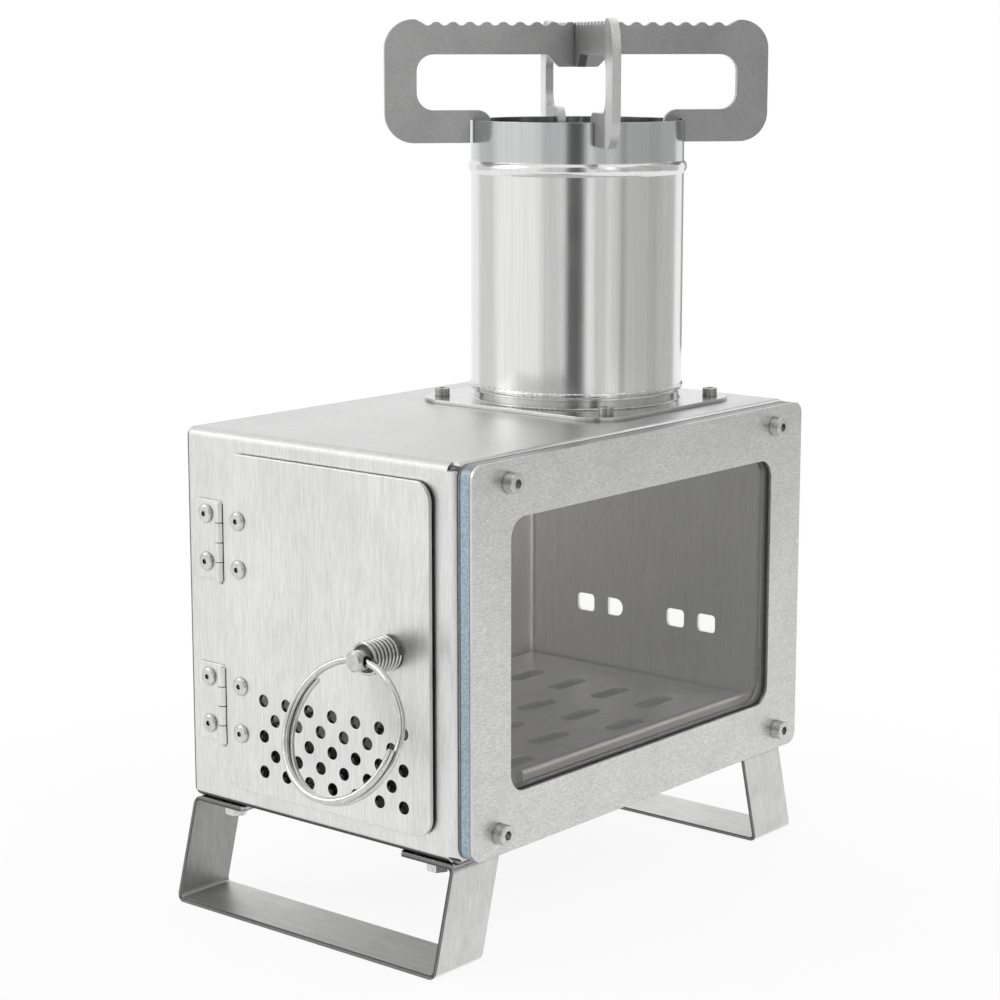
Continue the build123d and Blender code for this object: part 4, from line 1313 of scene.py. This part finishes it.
@dataclass
class Studio:
    """The floor, the surroundings, the lamps and the camera."""

    camera_azimuth: float = math.radians(39.724)
    camera_elevation: float = math.radians(10.506)
    camera_from_body: Triple = (0.50763, -0.58947, 0.26672)
    focal: float = 89.406
    sensor: float = 36.0
    nearest_seen: float = 0.05
    floor_half: float = 14.0
    floor_drop: float = 0.0002
    floor_tone: float = 0.86
    floor_contrast: float = 0.005
    paper: Noise = Noise(30.0, 3.0, 0.6)
    paper_relief: float = 0.02
    shadow_share: float = 0.1
    shadow_reach: float = 0.34
    shadow_core: float = 0.4
    matt: float = 0.9
    stage_relief: float = 0.0005
    felt: Noise = Noise(60.0, 2.0, 0.5)
    felt_contrast: float = 0.1
    felt_relief: float = 0.1
    card_core: float = 0.2
    sky_level: float = 0.8
    cards: tuple[Card, ...] = (
        Card("card_front", -51.5, 0.75, 0.4, 1.2, 0.13),
        Card("card_near_left", -78.0, 0.8, 0.5, 1.2, 0.8),
        Card("card_right", 29.0, 1.05, 2.7, 1.2, 0.62),
        Card("card_right_edge", -24.0, 0.9, 0.36, 1.2, 0.74),
        Card("card_right_front", 1.0, 0.85, 0.1, 1.2, 0.42),
        Card("card_right_back", 40.0, 0.85, 0.3, 1.2, 0.55),
        Card("card_right_far", 68.0, 0.95, 0.5, 1.2, 0.62),
        Card("card_left", 191.0, 1.0, 0.9, 1.2, 0.86),
        Card("card_back", 110.0, 1.6, 0.6, 1.6, 0.35),
    )
    lamps: tuple[Lamp, ...] = (
        Lamp("lamp_left", (-1.3, -1.1, 1.2), 1.1, 7.0),
        Lamp("lamp_right", (1.6, -0.4, 1.1), 0.9, 3.0),
        Lamp("lamp_back", (-0.6, 1.6, 1.6), 1.0, 4.0),
    )

    def background(self) -> None:
        """Make the surroundings white to the eye and to gloss, and a little dimmer as light."""
        world = bpy.data.worlds.new("surroundings")
        bpy.context.scene.world = world
        world.use_nodes = True
        tree = world.node_tree
        level = tree.nodes.new("ShaderNodeMapRange")
        tree.links.new(looked_at(tree), level.inputs["Value"])
        level.inputs["To Min"].default_value = self.sky_level
        tree.nodes["Background"].inputs["Color"].default_value = (1.0, 1.0, 1.0, 1.0)
        tree.links.new(level.outputs[0], tree.nodes["Background"].inputs["Strength"])

    def floor(self) -> bpy.types.Object:
        """Build the floor, which fades into the white surroundings and keeps the stove's shadow.

        Returns:
            The floor.
        """
        half = self.floor_half
        signs = ((-1, -1), (1, -1), (1, 1), (-1, 1))
        corners = [Vector((half * x, half * y, 0.0)) for x, y in signs]
        graph = Graph("floor_paper")
        paper = graph.noise(self.paper)
        color = graph.shade((self.floor_tone,) * 3, graph.varied(paper, self.floor_contrast))
        graph.finish(color, self.matt, graph.bump(paper, self.paper_relief, self.stage_relief), 0.0)
        graph.shader.inputs["Specular IOR Level"].default_value = 0.0
        away = graph.vector("LENGTH", graph.place).outputs["Value"]
        core = self.shadow_reach * self.shadow_core
        near = graph.between(away, core, self.shadow_reach, 1.0 - self.shadow_share, 1.0)
        white = graph.product(near, looked_at(graph.tree))
        glow = graph.node("Emission").outputs[0]
        mix = graph.node("MixShader", white, graph.shader.outputs[0], glow)
        graph.feed(graph.tree.nodes["Material Output"].inputs["Surface"], mix.outputs[0])
        made = sheet("floor", corners, graph)
        made.location.z = -self.floor_drop
        return made

    def card(self, card: Card) -> bpy.types.Object:
        """Stand a card around the stove, seen only in reflections.

        Args:
            card: the card's place, size and tone.

        Returns:
            The card.
        """
        angle = math.radians(card.azimuth)
        away = Vector((math.cos(angle), math.sin(angle), 0.0))
        side = Vector((-away.y, away.x, 0.0)) * card.width / 2
        foot = away * card.distance
        top = Vector(UP) * card.height
        corners = [foot - side, foot + side, foot + side + top, foot - side + top]
        graph = Graph(card.name)
        felt = graph.noise(self.felt)
        color = graph.shade((card.tone,) * 3, graph.varied(felt, self.felt_contrast))
        graph.finish(color, self.matt, graph.bump(felt, self.felt_relief, self.stage_relief), 0.0)
        past = graph.vector("SUBTRACT", graph.place, tuple(foot)).outputs[0]
        across = graph.vector("DOT_PRODUCT", past, tuple(side.normalized())).outputs["Value"]
        core, edge = card.width * self.card_core, card.width / 2
        fade = graph.between(graph.math("ABSOLUTE", across), core, edge, 1.0, 0.0)
        graph.feed(graph.shader.inputs["Alpha"], fade)
        made = sheet(card.name, corners, graph)
        made.visible_camera = False
        made.visible_diffuse = False
        made.visible_shadow = False
        made.visible_transmission = False
        return made

    def lamp(self, lamp: Lamp) -> bpy.types.Object:
        """Hang a soft lamp.

        Args:
            lamp: the lamp's place, size and power.

        Returns:
            The lamp.
        """
        light = bpy.data.lights.new(lamp.name, "AREA")
        light.shape = "SQUARE"
        light.size = lamp.size
        light.energy = lamp.power
        made = linked(lamp.name, light)
        made.location = lamp.place
        toward = Vector(lamp.aim) - Vector(lamp.place)
        made.rotation_euler = toward.to_track_quat("-Z", "Y").to_euler()
        made.visible_camera = False
        return made

    def camera(self) -> bpy.types.Object:
        """Place the camera by the firebox's right front lower corner.

        Returns:
            The camera.
        """
        azimuth, elevation = self.camera_azimuth, self.camera_elevation
        right = Vector((math.cos(azimuth), math.sin(azimuth), 0.0))
        back = Vector((
            math.sin(azimuth) * math.cos(elevation),
            -math.cos(azimuth) * math.cos(elevation),
            math.sin(elevation),
        ))
        low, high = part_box("firebox_shell")
        lens = bpy.data.cameras.new("camera")
        lens.sensor_width = self.sensor
        lens.lens = self.focal
        lens.clip_start = self.nearest_seen
        made = linked("camera", lens)
        matrix = Matrix((right, back.cross(right), back)).transposed().to_4x4()
        matrix.translation = Vector((high.x, low.y, low.z)) + Vector(self.camera_from_body)
        made.matrix_world = matrix
        bpy.context.scene.camera = made
        return made

    def build(self) -> list[str]:
        """Set up everything around the stove.

        Returns:
            The names of what it placed.
        """
        self.background()
        placed = [self.floor()]
        placed += [self.card(card) for card in self.cards]
        placed += [self.lamp(lamp) for lamp in self.lamps]
        placed.append(self.camera())
        bpy.context.scene.view_settings.view_transform = "Standard"
        return [made.name for made in placed]


def main() -> None:
    """Build and dress the sub-assemblies in order, then the studio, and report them."""
    logging.basicConfig(level=logging.INFO, format="%(name)s: %(message)s")
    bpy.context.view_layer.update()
    for part in (Firebox(), Window(), Flue(), PotStand(), Feet(), Hinges(), Door(), Latch(), Studio()):
        for name in part.build():
            LOG.info("%s: %s", type(part).__name__, name)


if __name__ == "__main__":
    main()
